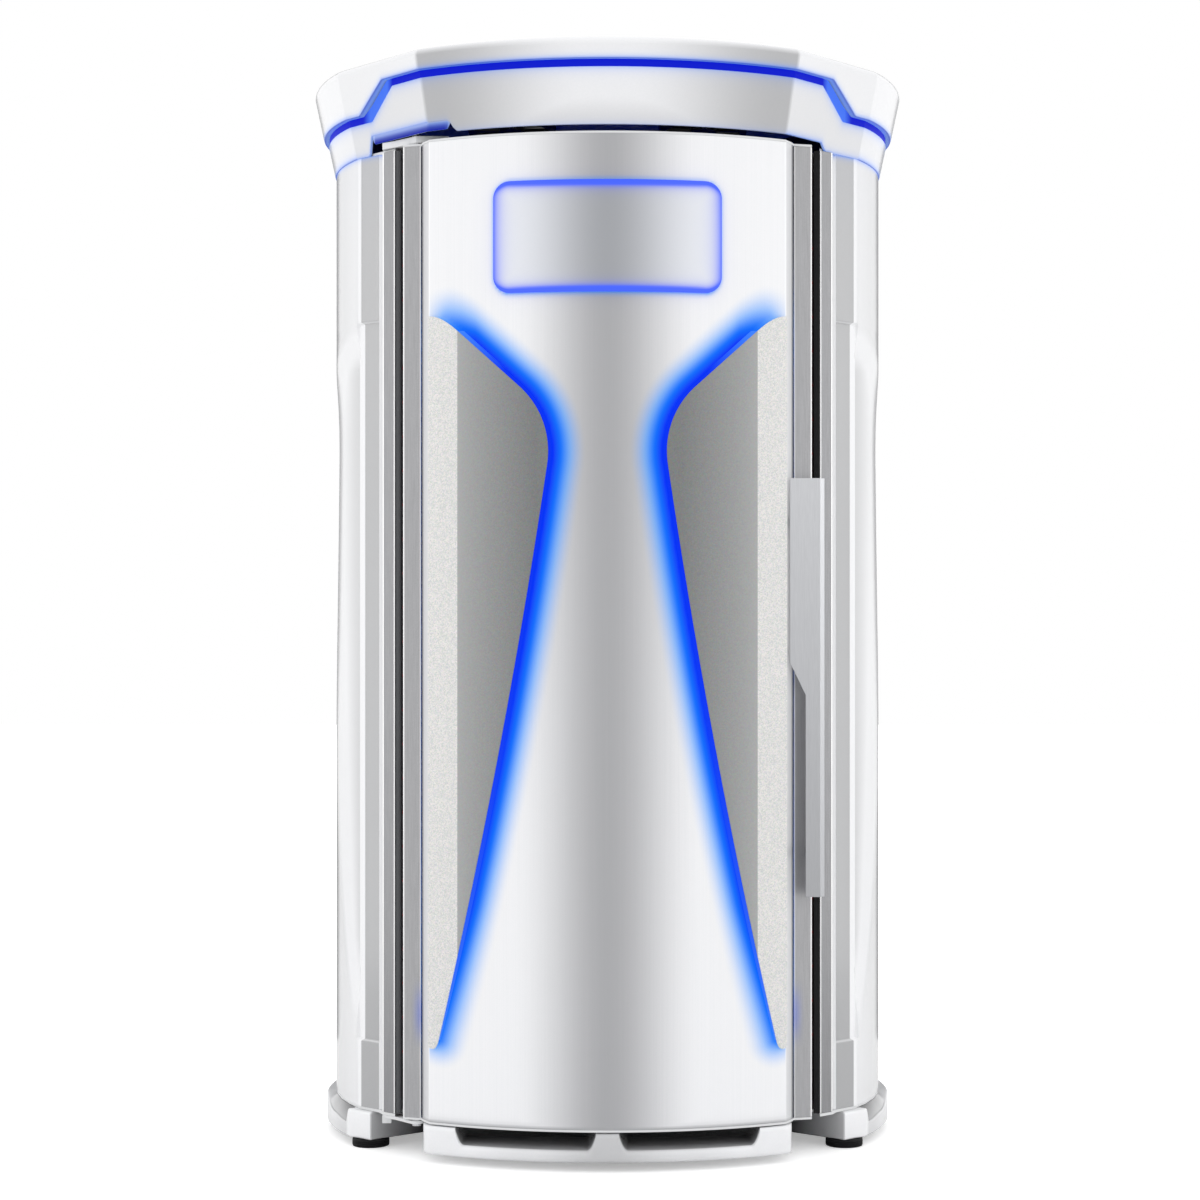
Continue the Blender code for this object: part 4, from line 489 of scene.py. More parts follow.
for vertex in sill.data.vertices:
    x, y, z = vertex.co
    behind = y - sill_front(x) - 0.9 * SILL_EDGE
    cut = notch_depth(x) > 0.0 and behind > 0.0 and z > sill_low.z + 0.5 * SILL_NOTCH_FLOOR
    sill_shade.append(NOTCH_SHADE[0 if behind < SILL_EDGE else 1] if cut else eased(abs(x), SILL_SHADE))
add_light(sill, np.zeros(len(sill_shade)), sill_shade)

# Floor: the deck plate that carries posts and shells, and the round tread plate that the user stands on.
# Both powder-coated steel; the tread has raised round studs against slipping.
ORANGE_PEEL = (0.0025, 0.0025, 0.0025)


def powder_coat(name, colour, roughness):
    """Powder-coated steel with its fine orange-peel surface."""
    material, tree, shader = start_material(name)
    peel = add_node(tree, "ShaderNodeTexNoise", {
        "Vector": coordinates(tree, ORANGE_PEEL), "Scale": 1.0})
    bump = add_node(tree, "ShaderNodeBump", {
        "Height": peel.outputs["Fac"], "Strength": 0.15, "Distance": 0.0004})
    worn = add_node(tree, "ShaderNodeMapRange", {
        "Value": peel.outputs["Fac"], "To Min": roughness - 0.06, "To Max": roughness + 0.06})
    tree.links.new(bump.outputs["Normal"], shader.inputs["Normal"])
    tree.links.new(worn.outputs["Result"], shader.inputs["Roughness"])
    shader.inputs["Base Color"].default_value = linear(colour)
    return material


white_steel = powder_coat("white_powder_coat", "#E2E3E4", 0.42)
grey_steel = powder_coat("grey_powder_coat", "#8C8E91", 0.48)


def dress(node, material, bevel=0.0008):
    """Give a CAD node its finish and fine rounded edges."""
    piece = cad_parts[node]
    piece.data.materials.clear()
    piece.data.materials.append(material)
    weld = piece.modifiers.new("joined_faces", "WELD")
    weld.merge_threshold = 1e-5
    flats = piece.modifiers.new("whole_flats", "DECIMATE")
    flats.decimate_type = "DISSOLVE"
    flats.angle_limit = 0.01
    rounding = piece.modifiers.new("rounded_edges", "BEVEL")
    rounding.width = bevel
    rounding.segments = 2
    rounding.limit_method = "ANGLE"
    rounding.angle_limit = 0.6


dress("floor_deck", white_steel)
tread_low, tread_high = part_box("tread_plate")
tread_radius = tread_high.x
TREAD_EDGE = 0.003
tread_profile = [(tread_radius, tread_low.z)]
for inward, up in quarter(TREAD_EDGE):
    tread_profile.append((tread_radius - inward, tread_high.z - TREAD_EDGE + up))
make_piece("tread_disc", turned(tread_profile, (0.0, 0.0, 0.0), sides=144), grey_steel, "cabinet",
           "tread_plate")


def point_cloud(name, places, facings):
    """A helper mesh of loose points that carries the direction each copy faces."""
    mesh = bpy.data.meshes.new(name)
    mesh.from_pydata(places, [], [])
    facing = mesh.attributes.new("facing", "FLOAT_VECTOR", "POINT")
    facing.data.foreach_set("vector", np.array(facings, float).ravel())
    return bpy.data.objects.new(name, mesh)


copies = bpy.data.node_groups.new("copies_on_points", "GeometryNodeTree")
sockets = copies.interface
sockets.new_socket("Geometry", in_out="INPUT", socket_type="NodeSocketGeometry")
shape_socket = sockets.new_socket("Shape", in_out="INPUT", socket_type="NodeSocketObject").identifier
finish_socket = sockets.new_socket("Finish", in_out="INPUT", socket_type="NodeSocketMaterial").identifier
sockets.new_socket("Geometry", in_out="OUTPUT", socket_type="NodeSocketGeometry")
entry = add_node(copies, "NodeGroupInput")
source = add_node(copies, "GeometryNodeObjectInfo", {"Object": entry.outputs["Shape"]})
facing = add_node(copies, "GeometryNodeInputNamedAttribute", data_type="FLOAT_VECTOR", inputs={
    "Name": "facing"})
aligned = add_node(copies, "FunctionNodeAlignRotationToVector", axis="Z", inputs={
    "Vector": facing.outputs["Attribute"]})
placed = add_node(copies, "GeometryNodeInstanceOnPoints", {
    "Points": entry.outputs["Geometry"], "Instance": source.outputs["Geometry"],
    "Rotation": aligned.outputs["Rotation"]})
real = add_node(copies, "GeometryNodeRealizeInstances", {"Geometry": placed.outputs["Instances"]})
painted = add_node(copies, "GeometryNodeSetMaterial", {
    "Geometry": real.outputs["Geometry"], "Material": entry.outputs["Finish"]})
add_node(copies, "NodeGroupOutput", {"Geometry": painted.outputs["Geometry"]})


def repeat(name, shape, places, facings, material, body):
    """One mesh of a small shape, whose up is +Z, set on many points that each face a direction."""
    one = bpy.data.objects.new(name + "_one", closed_mesh(name + "_one", shape))
    cloud = point_cloud(name + "_points", places, facings)
    for helper in (one, cloud):
        scene.collection.objects.link(helper)
    spread = cloud.modifiers.new("copies", "NODES")
    spread.node_group = copies
    spread[shape_socket] = one
    spread[finish_socket] = material
    bpy.context.view_layer.update()
    shown = cloud.evaluated_get(bpy.context.evaluated_depsgraph_get())
    made = bpy.data.objects.new(name, bpy.data.meshes.new_from_object(shown))
    for helper in (one, cloud):
        bpy.data.objects.remove(helper)
    scene.collection.objects.link(made)
    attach(made, body)
    return made


STUD_RADIUS = 0.006
STUD_HEIGHT = 0.0012
STUD_PITCH = 0.030
stud_places = []
rows = int(tread_radius / STUD_PITCH)
for i in range(-rows, rows + 1):
    for j in range(-rows, rows + 1):
        x = STUD_PITCH * (i + 0.5 * (j % 2))
        y = STUD_PITCH * j
        if math.hypot(x, y) < tread_radius - STUD_PITCH:
            stud_places.append((x, y, tread_high.z))
STUD_SLANT = 0.001
STUD_SUNK = 0.0005
stud_profile = [(STUD_RADIUS, -STUD_SUNK), (STUD_RADIUS - STUD_SLANT, STUD_HEIGHT),
                (STUD_SLANT, STUD_HEIGHT)]
repeat("tread_studs", turned(stud_profile, (0.0, 0.0, 0.0), sides=10), stud_places,
       [(0.0, 0.0, 1.0)] * len(stud_places), grey_steel, "cabinet")

# Side shells and rear panel: three gloss white skins round the cabin. Each side shell has a facet next
# to its post and, behind it, a long leaf-shaped scoop that ends in a steep lip at the front.
BODY_RADIUS = body_high.y
SHELL_WALL = 0.006
SHELL_SEAM = 0.0015      # joint between side shells and rear panel
SHELL_CORNER_ANGLE = -29.3
REAR_SEAM_ANGLE = 60.0
FACET_BESIDE_POST = 0.010
FLANGE_GAP = 0.0015      # post to the shell's turned-in front flange
FACET_SETBACK = 0.050    # shell's front edge behind the post's front
SCOOP_DEPTH = 0.016
SCOOP_LIP = 0.006        # step of the scoop at the shell's front corner
SCOOP_BAND = 1.9         # degrees of flat band behind the front corner
SCOOP_BELOW_TOP = 0.352
SCOOP_ABOVE_BOTTOM = 0.1544
SCOOP_NARROW = -26.0     # degrees, the leaf's rear edge at its two points
SCOOP_WIDE = 8.0         # and where it is widest
SCOOP_BELLY = 0.825      # share of the leaf's height where that is
SCOOP_CROWN = 0.8        # power of the round over the belly
SCOOP_BOW = 0.08         # how much the leaf's rear edge bows below it
SCOOP_FADE = [(0.0, 0.0), (0.14, 1.0), (0.93, 1.0), (1.0, 0.0)]  # depth along the leaf's height
SCOOP_HOLLOW = 1.5       # power of the hollow across it
STEP_WIDTH = 0.5         # degrees, the step down into the scoop
CORNER_ROUND = 0.005     # rounding of the shell's front corner
FACET_RECESS = 0.006     # facet sunk between two ledges
FACET_STEP = 0.006       # height of the ledges
LEDGE_BELOW_SCOOP = 0.014
FACET_LAP = 0.001        # facet's inner edge, drawn towards the post
JOINT_GLOW = 0.010       # how far blue light runs down from the canopy's joint
shell_corner = Vector(polar(BODY_RADIUS, SHELL_CORNER_ANGLE))
facet_inner = Vector((post_high.x + FACET_BESIDE_POST, post_low.y + FACET_SETBACK))
scoop_top = body_high.z - SCOOP_BELOW_TOP
scoop_bottom = body_low.z + SCOOP_ABOVE_BOTTOM
ledge_bottom = scoop_bottom - LEDGE_BELOW_SCOOP
QUARTERS = [0.0, 0.25, 0.5, 0.75, 1.0]  # stations over a facet, a rounding or a step
LEAF_STEPS = 18
SIDE_STEPS = 30


def facet_sunk(level):
    """Share of its full depth by which the facet is sunk at one level."""
    return eased(level, [(ledge_bottom, 0.0), (ledge_bottom + FACET_STEP, 1.0),
                         (scoop_top - FACET_STEP, 1.0), (scoop_top, 0.0)])


def shell_row(level):
    """Outer plan points of the right shell at one level, from the facet round to the rear seam."""
    share = min(1.0, max(0.0, (level - scoop_bottom) / (scoop_top - scoop_bottom)))
    fade = eased(share, SCOOP_FADE)
    if share < SCOOP_BELLY:
        along = share / SCOOP_BELLY
        swell = along + SCOOP_BOW * math.sin(math.pi * along)
    else:
        swell = (1.0 - ((share - SCOOP_BELLY) / (1.0 - SCOOP_BELLY)) ** 2) ** SCOOP_CROWN
    rear = SCOOP_NARROW + (SCOOP_WIDE - SCOOP_NARROW) * swell
    stepped = facet_sunk(level)
    lip = SCOOP_LIP * stepped
    facet = shell_corner - facet_inner
    sunk = Vector((-facet.y, facet.x)).normalized() * FACET_RECESS * stepped
    begin = facet_inner + sunk
    corner = begin + facet.normalized() * (facet.length - lip)
    before = corner - facet.normalized() * CORNER_ROUND
    after_angle = SHELL_CORNER_ANGLE + math.degrees(CORNER_ROUND / BODY_RADIUS)
    after = Vector(polar(BODY_RADIUS - lip, after_angle))
    points = [Vector((post_high.x + FLANGE_GAP, facet_inner.y)), facet_inner - Vector((FACET_LAP, 0.0))]
    points += [begin.lerp(before, along) for along in QUARTERS[:-1]]
    points += [before.lerp(corner, along).lerp(corner.lerp(after, along), along) for along in QUARTERS]
    band_end = SHELL_CORNER_ANGLE + SCOOP_BAND
    for along in QUARTERS:
        sink = eased(along, [(0.0, 0.0), (1.0, 1.0)])
        depth = lip + (SCOOP_DEPTH * fade - lip) * sink
        points.append(Vector(polar(BODY_RADIUS - depth, band_end - STEP_WIDTH * (1.0 - along))))
    for step in range(1, LEAF_STEPS + 1):
        across = step / LEAF_STEPS
        depth = SCOOP_DEPTH * fade * (1.0 - across ** 2) ** SCOOP_HOLLOW
        points.append(Vector(polar(BODY_RADIUS - depth, band_end + (rear - band_end) * across)))
    seam = REAR_SEAM_ANGLE - math.degrees(0.5 * SHELL_SEAM / BODY_RADIUS)
    for step in range(1, SIDE_STEPS + 1):
        points.append(Vector(polar(BODY_RADIUS, rear + (seam - rear) * step / SIDE_STEPS)))
    return points


def drawn_in(points, wall):
    """The same row of plan points moved inwards by the wall."""
    inner = []
    for i, here in enumerate(points):
        along = (points[min(i + 1, len(points) - 1)] - points[max(i - 1, 0)]).normalized()
        inner.append(here + Vector((-along.y, along.x)) * wall)
    return inner


def slab(front, back):
    """A sheet from two grids of points with equal counts, joined round their rims."""
    rows, columns = len(front), len(front[0])
    points = [point for row in front for point in row] + [point for row in back for point in row]
    offset = rows * columns
    faces = []
    for i in range(rows - 1):
        for j in range(columns - 1):
            a, b = i * columns + j, (i + 1) * columns + j
            faces.append((a, a + 1, b + 1, b))
            faces.append((offset + a, offset + b, offset + b + 1, offset + a + 1))
    rim = list(range(columns)) + [i * columns + columns - 1 for i in range(1, rows)]
    rim += [(rows - 1) * columns + j for j in range(columns - 2, -1, -1)]
    rim += [i * columns for i in range(rows - 2, 0, -1)]
    for a, b in zip(rim, rim[1:] + rim[:1]):
        faces.append((a, offset + a, offset + b, b))
    return points, faces


LEAF_ROWS = 110
shell_levels = [body_low.z, 0.5 * (body_low.z + scoop_bottom)]
leaf_height = scoop_top - scoop_bottom
shell_levels += [scoop_bottom + leaf_height * step / LEAF_ROWS for step in range(LEAF_ROWS + 1)]
shell_levels += [ledge_bottom + FACET_STEP * along for along in QUARTERS]
shell_levels += [scoop_top - FACET_STEP * along for along in QUARTERS[1:]]
shell_levels += [0.5 * (scoop_top + body_high.z)]
shell_levels += [body_high.z - JOINT_GLOW * step / 4.0 for step in range(8, -1, -1)]
shell_levels.sort()
shell_rows = [shell_row(level) for level in shell_levels]
shell_backs = [drawn_in(row, SHELL_WALL) for row in shell_rows]
JOINT_BLUE = 0.60        # blue light at the joint itself
FACET_SHADE = 0.56
FACET_POINTS = range(2, 7)  # which points of a row are on the facet
SIDE_START = 11          # and the first that is on the side
SCOOP_SHADE = 0.34
SCOOP_SHADE_POWER = 2.5  # keeps the shade to the scoop's deepest part
SCOOP_CLEARS = 0.7       # how much of the side's shade the scoop takes away
LEDGE_SHINE = 0.6        # how much less shade the ledges take
SIDE_SHADE = [(-27.0, 0.12), (-18.0, 0.22), (-7.0, 0.34), (10.0, 0.13), (45.0, 0.0)]  # by degrees
shell_shade = []
shell_glow = []
for row, level in zip(shell_rows, shell_levels):
    shell_glow += [JOINT_BLUE * math.exp(-2.0 * (body_high.z - level) / JOINT_GLOW)] * len(row)
    ledge = 4.0 * facet_sunk(level) * (1.0 - facet_sunk(level))
    facet = FACET_SHADE * (1.0 - LEDGE_SHINE * ledge)
    for i, point in enumerate(row):
        if i < SIDE_START:
            shell_shade.append(facet if i in FACET_POINTS else 0.0)
            continue
        depth = BODY_RADIUS - point.length
        sunk = max(0.0, depth - SCOOP_LIP) / (SCOOP_DEPTH - SCOOP_LIP)
        hollow = min(1.0, 6.0 * depth / SCOOP_DEPTH)
        side_shade = eased(math.degrees(math.atan2(point.y, point.x)), SIDE_SHADE)
        scoop_shade = SCOOP_SHADE * sunk ** SCOOP_SHADE_POWER
        shell_shade.append(max(scoop_shade, side_shade * (1.0 - SCOOP_CLEARS * hollow)))
shell_glow += [0.0] * len(shell_shade)
shell_shade += [0.0] * len(shell_shade)
for side, sign in (("left", -1.0), ("right", 1.0)):
    outer = [[(sign * p.x, p.y, z) for p in row] for row, z in zip(shell_rows, shell_levels)]
    inner = [[(sign * p.x, p.y, z) for p in row] for row, z in zip(shell_backs, shell_levels)]
    shell = make_piece("shell_skin_" + side, slab(outer, inner), white_abs, "cabinet",
                       "side_shell_" + side)
    add_light(shell, shell_glow, shell_shade)


def prism(outline, bottom, top):
    """A plan outline raised between two levels."""
    return loft([[(x, y, level) for x, y in outline] for level in (bottom, top)])


rear_seam = REAR_SEAM_ANGLE + math.degrees(0.5 * SHELL_SEAM / BODY_RADIUS)
rear_turns = [rear_seam + (180.0 - 2.0 * rear_seam) * step / 60.0 for step in range(61)]
rear_outline = [polar(BODY_RADIUS, turn) for turn in rear_turns]
rear_outline += [polar(BODY_RADIUS - SHELL_WALL, turn) for turn in reversed(rear_turns)]
make_piece("rear_skin", prism(rear_outline, body_low.z, body_high.z), white_abs, "cabinet",
           "rear_panel")

# Posts and seals: four aluminium extrusions that carry the ceiling, and the rubber in the door's gaps.
# Satin anodised aluminium with a fine speckle and a painted highlight along its edges; grey and black
# rubber.
SPECKLE = (0.0012, 0.0012, 0.0012)
DRAW_LINES = (0.0010, 0.0010, 0.060)
EDGE_HIGHLIGHT = 0.0030       # width of the painted highlight along an extrusion's edges


def anodised(name, dark, light, low_x, high_x):
    """Satin anodised aluminium with a fine speckle, and a painted highlight along the edges at two
    sideways places.
    """
    material, tree, shader = start_material(name)
    speckle = add_node(tree, "ShaderNodeTexNoise", {"Vector": coordinates(tree, SPECKLE), "Scale": 1.0})
    lines = add_node(tree, "ShaderNodeTexNoise", {
        "Vector": coordinates(tree, DRAW_LINES), "Scale": 1.0})
    both = add_node(tree, "ShaderNodeMath", {0: speckle.outputs["Fac"], 1: lines.outputs["Fac"]})
    share = add_node(tree, "ShaderNodeMapRange", {
        "Value": both.outputs[0], "From Min": 0.6, "From Max": 1.4})
    tint = add_node(tree, "ShaderNodeMix", data_type="RGBA", inputs={
        0: share.outputs["Result"], 6: linear(dark), 7: linear(light)})
    place = add_node(tree, "ShaderNodeTexCoord")
    place = add_node(tree, "ShaderNodeSeparateXYZ", {0: place.outputs["Object"]})
    across = add_node(tree, "ShaderNodeMath", {0: place.outputs["X"]}, operation="ABSOLUTE")
    away = add_node(tree, "ShaderNodeMath", operation="SUBTRACT", inputs={
        0: across.outputs[0], 1: 0.5 * (low_x + high_x)})
    away = add_node(tree, "ShaderNodeMath", {0: away.outputs[0]}, operation="ABSOLUTE")
    # Painted highlight: near white along both edges.
    edge = add_node(tree, "ShaderNodeMath", operation="GREATER_THAN", inputs={
        0: away.outputs[0], 1: 0.5 * (high_x - low_x) - EDGE_HIGHLIGHT})
    drawn = add_node(tree, "ShaderNodeMix", data_type="RGBA", inputs={
        0: edge.outputs[0], 6: tint.outputs[2], 7: linear("#F2F2F2")})
    bump = add_node(tree, "ShaderNodeBump", {
        "Height": both.outputs[0], "Strength": 0.12, "Distance": 0.0003})
    tree.links.new(drawn.outputs[2], shader.inputs["Base Color"])
    tree.links.new(bump.outputs["Normal"], shader.inputs["Normal"])
    shader.inputs["Metallic"].default_value = 1.0
    shader.inputs["Roughness"].default_value = 0.40
    return material


# Painted shade: the posts' copy of the aluminium is darker than the stiles' copy of the same metal.
post_metal_painted_darker = anodised("posts_satin_anodised_painted_darker", "#858587", "#9E9EA0", post_low.x, post_high.x)
for node in ("front_post_left", "front_post_right", "rear_post_left", "rear_post_right"):
    dress(node, post_metal_painted_darker, 0.0022)

grey_rubber, tree, shader = start_material("grey_moulded_rubber")
grain = add_node(tree, "ShaderNodeTexNoise", {"Vector": coordinates(tree, GRAIN), "Scale": 1.0})
tint = add_node(tree, "ShaderNodeMix", data_type="RGBA", inputs={
    0: grain.outputs["Fac"], 6: linear("#3A3B3D"), 7: linear("#55565A")})
tree.links.new(tint.outputs[2], shader.inputs["Base Color"])
shader.inputs["Roughness"].default_value = 0.55
seal_low, seal_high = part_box("hinge_seal")
seal_middle = 0.5 * (seal_low + seal_high)
seal_radius = 0.5 * (seal_high.x - seal_low.x)
seal_profile = [(seal_radius, seal_low.z), (seal_radius, seal_high.z)]
seal_shape = turned(seal_profile, (seal_middle.x, seal_middle.y, 0.0), sides=24)
make_piece("hinge_bulb_seal", seal_shape, grey_rubber, "cabinet", "hinge_seal")
dress("latch_seal", black_rubber, 0.0015)

# Canopy: a lower and an upper shell with a blue light strip in the stepped groove between them.
# White ABS like the body; round the groove both shells take painted blue light from the strip, painted
# shade greys the front beside its creases, the flanks and the inside, and over the door's pivot the lower
# edge is cut up into a notch, whose hanging inner wall is painted with blue light.


def light_guide(name, deep, light):
    """Glowing guide that runs from a deep to a light blue by the light stored for its points."""
    material, tree, shader = start_material(name)
    core = add_node(tree, "ShaderNodeAttribute", attribute_name="glow")
    beam = add_node(tree, "ShaderNodeMix", data_type="RGBA", inputs={
        0: core.outputs["Fac"], 6: linear(deep), 7: linear(light)})
    tree.links.new(beam.outputs[2], shader.inputs["Emission Color"])
    shader.inputs["Base Color"].default_value = linear("#02040C")
    shader.inputs["Emission Strength"].default_value = 1.0
    shader.inputs["Specular IOR Level"].default_value = 0.05
    shader.inputs["Roughness"].default_value = 0.5
    return material


blue_light = light_guide("blue_light_strip", "#0C1CCE", "#4A78F6")

pin_low, pin_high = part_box("upper_pivot_pin")
CANOPY_LAP = 0.002       # canopy bottom edge proud of the body
CANOPY_FLAT = 0.0206     # how far front and back are flattened
FACET_BACK_ANGLE = -27.7
FACET_FRONT_ANGLE = -52.5
CANOPY_FLARE = 0.2125    # outward per upward
COVE_OVERHANG = 0.0078
CANOPY_WALL = 0.006
CANOPY_ROUND = 0.015
CANOPY_FLANGE = 0.100
CANOPY_LIP = 0.020
LIP_ROUND = 0.002
GROOVE_HEIGHT = 0.015
GROOVE_FRONT_DROP = 0.051
GROOVE_SIDE_DROP = 0.112
GROOVE_FLOOR_SLANT = (0.36, 0.69)  # along a facet, where the groove's lower edge comes down
GROOVE_ROOF_SLANT = (0.45, 0.81)   # and its upper edge
STRIP_DEPTH = 0.014
STRIP_RECESS = 0.001
SEAT = 0.0003            # gap between pieces that touch
DOOR_ARCH = 0.0167       # lower edge raised over the door
PIVOT_NOTCH = 0.0397     # raised further over the pivot
ARCH_RAMP = 0.012
NOTCH_BESIDE_POST = 0.031
NOTCH_PAST_PIVOT = 0.076
ARCH_PAST_POST = 0.013
NOTCH_LIP = 0.018        # inner wall that hangs below the edge, over the pivot
NOTCH_LIP_LEAST = 0.0004
NOTCH_LIP_RAMP = 0.004
LIP_STEP = 0.0035        # how far back it hangs
pivot_x = 0.5 * (pin_low.x + pin_high.x)
notch_left = -(post_high.x + NOTCH_BESIDE_POST)
notch_right = pivot_x + NOTCH_PAST_PIVOT
arch_right = post_low.x + ARCH_PAST_POST
arch_knots = [(notch_left, 0.0), (notch_left + ARCH_RAMP, PIVOT_NOTCH), (notch_right, PIVOT_NOTCH),
              (notch_right + ARCH_RAMP, DOOR_ARCH), (arch_right - ARCH_RAMP, DOOR_ARCH),
              (arch_right, 0.0)]
lip_left = notch_left + ARCH_RAMP
pivot_knots = [(lip_left, 0.0), (lip_left + NOTCH_LIP_RAMP, 1.0), (notch_right - NOTCH_LIP_RAMP, 1.0),
               (notch_right, 0.0)]
canopy_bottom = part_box("canopy_lower_shell")[0].z
canopy_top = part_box("canopy_upper_shell")[1].z
lower_radius = BODY_RADIUS + CANOPY_LAP
canopy_radius = lower_radius + CANOPY_FLARE * (canopy_top - canopy_bottom - CANOPY_ROUND) + COVE_OVERHANG


def between(value, knots):
    """Straight-line value between (place, value) knots, held level beyond the ends."""
    places, values = zip(*knots)
    return float(np.interp(value, places, values))


def canopy_point(radius, station):
    """Plan point of the canopy outline of a given size at a station (part, place, side) round it."""
    part, place, sign = station
    front_corner = polar(radius, FACET_FRONT_ANGLE)
    back_corner = polar(radius, FACET_BACK_ANGLE)
    if part == "front":
        nose = radius - CANOPY_FLAT
        bulge = nose + front_corner[1]
        bow = (front_corner[0] ** 2 + bulge ** 2) / (2.0 * bulge)
        x = place * front_corner[0]
        return (sign * x, -nose + bow - math.sqrt(bow ** 2 - x ** 2))
    if part == "facet":
        return (sign * (front_corner[0] + (back_corner[0] - front_corner[0]) * place),
                front_corner[1] + (back_corner[1] - front_corner[1]) * place)
    x, y = polar(radius, place)
    swell = max(0.0, radius - lower_radius) / (canopy_radius - lower_radius)
    return (sign * x, min(y, radius - CANOPY_FLAT * swell))


FRONT_STEPS = 60
FACET_STEPS = 50
ROUND_STEPS = 72
HANG_STEPS = 5
LOWER_STEPS = 20
UPPER_STEPS = 14
lip_round = quarter(LIP_ROUND, 3)


def half_stations(sign):
    """Stations from the front middle to the back middle on one side."""
    stations = [("front", step / FRONT_STEPS, sign) for step in range(FRONT_STEPS)]
    stations += [("facet", step / FACET_STEPS, sign) for step in range(FACET_STEPS)]
    turn = (90.0 - FACET_BACK_ANGLE) / ROUND_STEPS
    turns = [FACET_BACK_ANGLE + turn * step for step in range(ROUND_STEPS + 1)]
    return stations + [("round", angle, sign) for angle in turns]


canopy_stations = half_stations(1.0) + half_stations(-1.0)[::-1][1:-1]


def groove_drop(station, slant):
    """How far a light groove that comes down over a stretch of the facet is below the top."""
    share = {"front": 0.0, "facet": station[1], "round": 1.0}[station[0]]
    return between(share, [(slant[0], GROOVE_FRONT_DROP), (slant[1], GROOVE_SIDE_DROP)])


def groove_floor(station):
    """Height of the light groove's lower edge at a station."""
    return canopy_top - groove_drop(station, GROOVE_FLOOR_SLANT) - 0.5 * GROOVE_HEIGHT


def groove_roof(station):
    """Height of the light groove's upper edge at a station."""
    return canopy_top - groove_drop(station, GROOVE_ROOF_SLANT) + 0.5 * GROOVE_HEIGHT


def lower_edge(station):
    """Height of the canopy's lower edge at a station."""
    if station[0] == "round":
        return canopy_bottom
    return canopy_bottom + between(canopy_point(lower_radius, station)[0], arch_knots)


def flare(level):
    """Radius of the lower shell's outer face at a height."""
    return lower_radius + CANOPY_FLARE * (level - canopy_bottom)


def over_pivot(station):
    """How far a station belongs to the notch over the pivot, from 0 to 1."""
    if station[0] == "round":
        return 0.0
    return between(canopy_point(lower_radius, station)[0], pivot_knots)


def lower_profile(station):
    """Wall of the lower shell with the shelf under the light strip."""
    edge = lower_edge(station)
    shelf = groove_floor(station)
    under = shelf - CANOPY_WALL
    inside = flare(shelf) - CANOPY_LIP - STRIP_DEPTH
    hang = edge - NOTCH_LIP_LEAST - NOTCH_LIP * over_pivot(station)
    back = flare(edge) - LIP_STEP
    shown = [(back, hang + (edge - hang) * step / HANG_STEPS) for step in range(HANG_STEPS)]
    shown += [(flare(edge) - inward, edge + LIP_ROUND - up) for inward, up in reversed(lip_round)]
    for step in range(1, LOWER_STEPS):
        level = edge + LIP_ROUND + (shelf - edge - 2.0 * LIP_ROUND) * step / LOWER_STEPS
        shown.append((flare(level), level))
    shown += [(flare(shelf) - inward, shelf - LIP_ROUND + up) for inward, up in lip_round]
    hidden = [(inside, shelf), (inside, under), (flare(under) - CANOPY_WALL, under)]
    return shown, hidden + [(flare(edge) - CANOPY_WALL, edge), (flare(edge) - CANOPY_WALL, hang)]


def strip_profile(station):
    """Light strip that fills the groove between the two shells."""
    bottom = groove_floor(station) + SEAT
    top = groove_roof(station) - SEAT
    outer = flare(bottom) - STRIP_RECESS
    return [(outer, bottom), (outer, top), (outer - STRIP_DEPTH, top), (outer - STRIP_DEPTH, bottom)], []


def upper_profile(station):
    """Rim of the upper shell: lip over the strip, flared wall, rounded edge and top flange."""
    lip = groove_roof(station)
    shoulder = canopy_top - CANOPY_ROUND
    side = flare(shoulder) + COVE_OVERHANG
    inner = lip + CANOPY_WALL
    outer = flare(lip) + COVE_OVERHANG
    shown = [(outer - inward, lip + LIP_ROUND - up) for inward, up in reversed(lip_round)]
    for step in range(1, UPPER_STEPS):
        level = lip + LIP_ROUND + (shoulder - lip - LIP_ROUND) * step / UPPER_STEPS
        shown.append((flare(level) + COVE_OVERHANG, level))
    shown += [(side - inward, shoulder + up) for inward, up in quarter(CANOPY_ROUND, 8)]
    shown += [(side - CANOPY_FLANGE, canopy_top)]
    under = canopy_top - CANOPY_WALL
    hidden = [(side - CANOPY_FLANGE, under), (side - CANOPY_ROUND, under)]
    hidden += [(flare(inner) + COVE_OVERHANG - CANOPY_WALL, inner)]
    return shown, hidden + [(outer - CANOPY_LIP, inner), (outer - CANOPY_LIP, lip)]


CREASE = math.radians(9.0)  # canopy edges sharper than this stay crisp
GLOW_FALL = 0.008        # metres over which the strip's light on the lower shell falls off
ROOF_FALL = 0.004        # the same on the upper shell
ROOF_LIGHT = 0.85
JOINT_FALL = 0.0056      # and the same along the lower edge
NOTCH_LIGHT = [(0.0, 0.45), (0.5 * NOTCH_LIP, 0.9), (NOTCH_LIP, 1.0)]  # below the edge, over the pivot
JOINT_LIGHT = {"front": 0.20, "facet": 0.55, "round": 0.85}  # along the lower edge
GROOVE_LIGHT = {"front": 0.45, "facet": 0.60, "round": 0.60}  # just under the groove
CREASE_SHADE = [(0.10, 0.0), (0.95, 0.48)]  # outward over the front, and shade there
FLANK_SHADE = {"facet": (0.17, 0.06), "round": (0.05, 0.0)}  # beside the front, on lower and upper shell
EDGE_SHADE = [(0.0, 0.20), (0.06, 0.0)]  # height over the front's lower edge, and shade there
INSIDE_SHADE = 0.95      # of points that face into the canopy


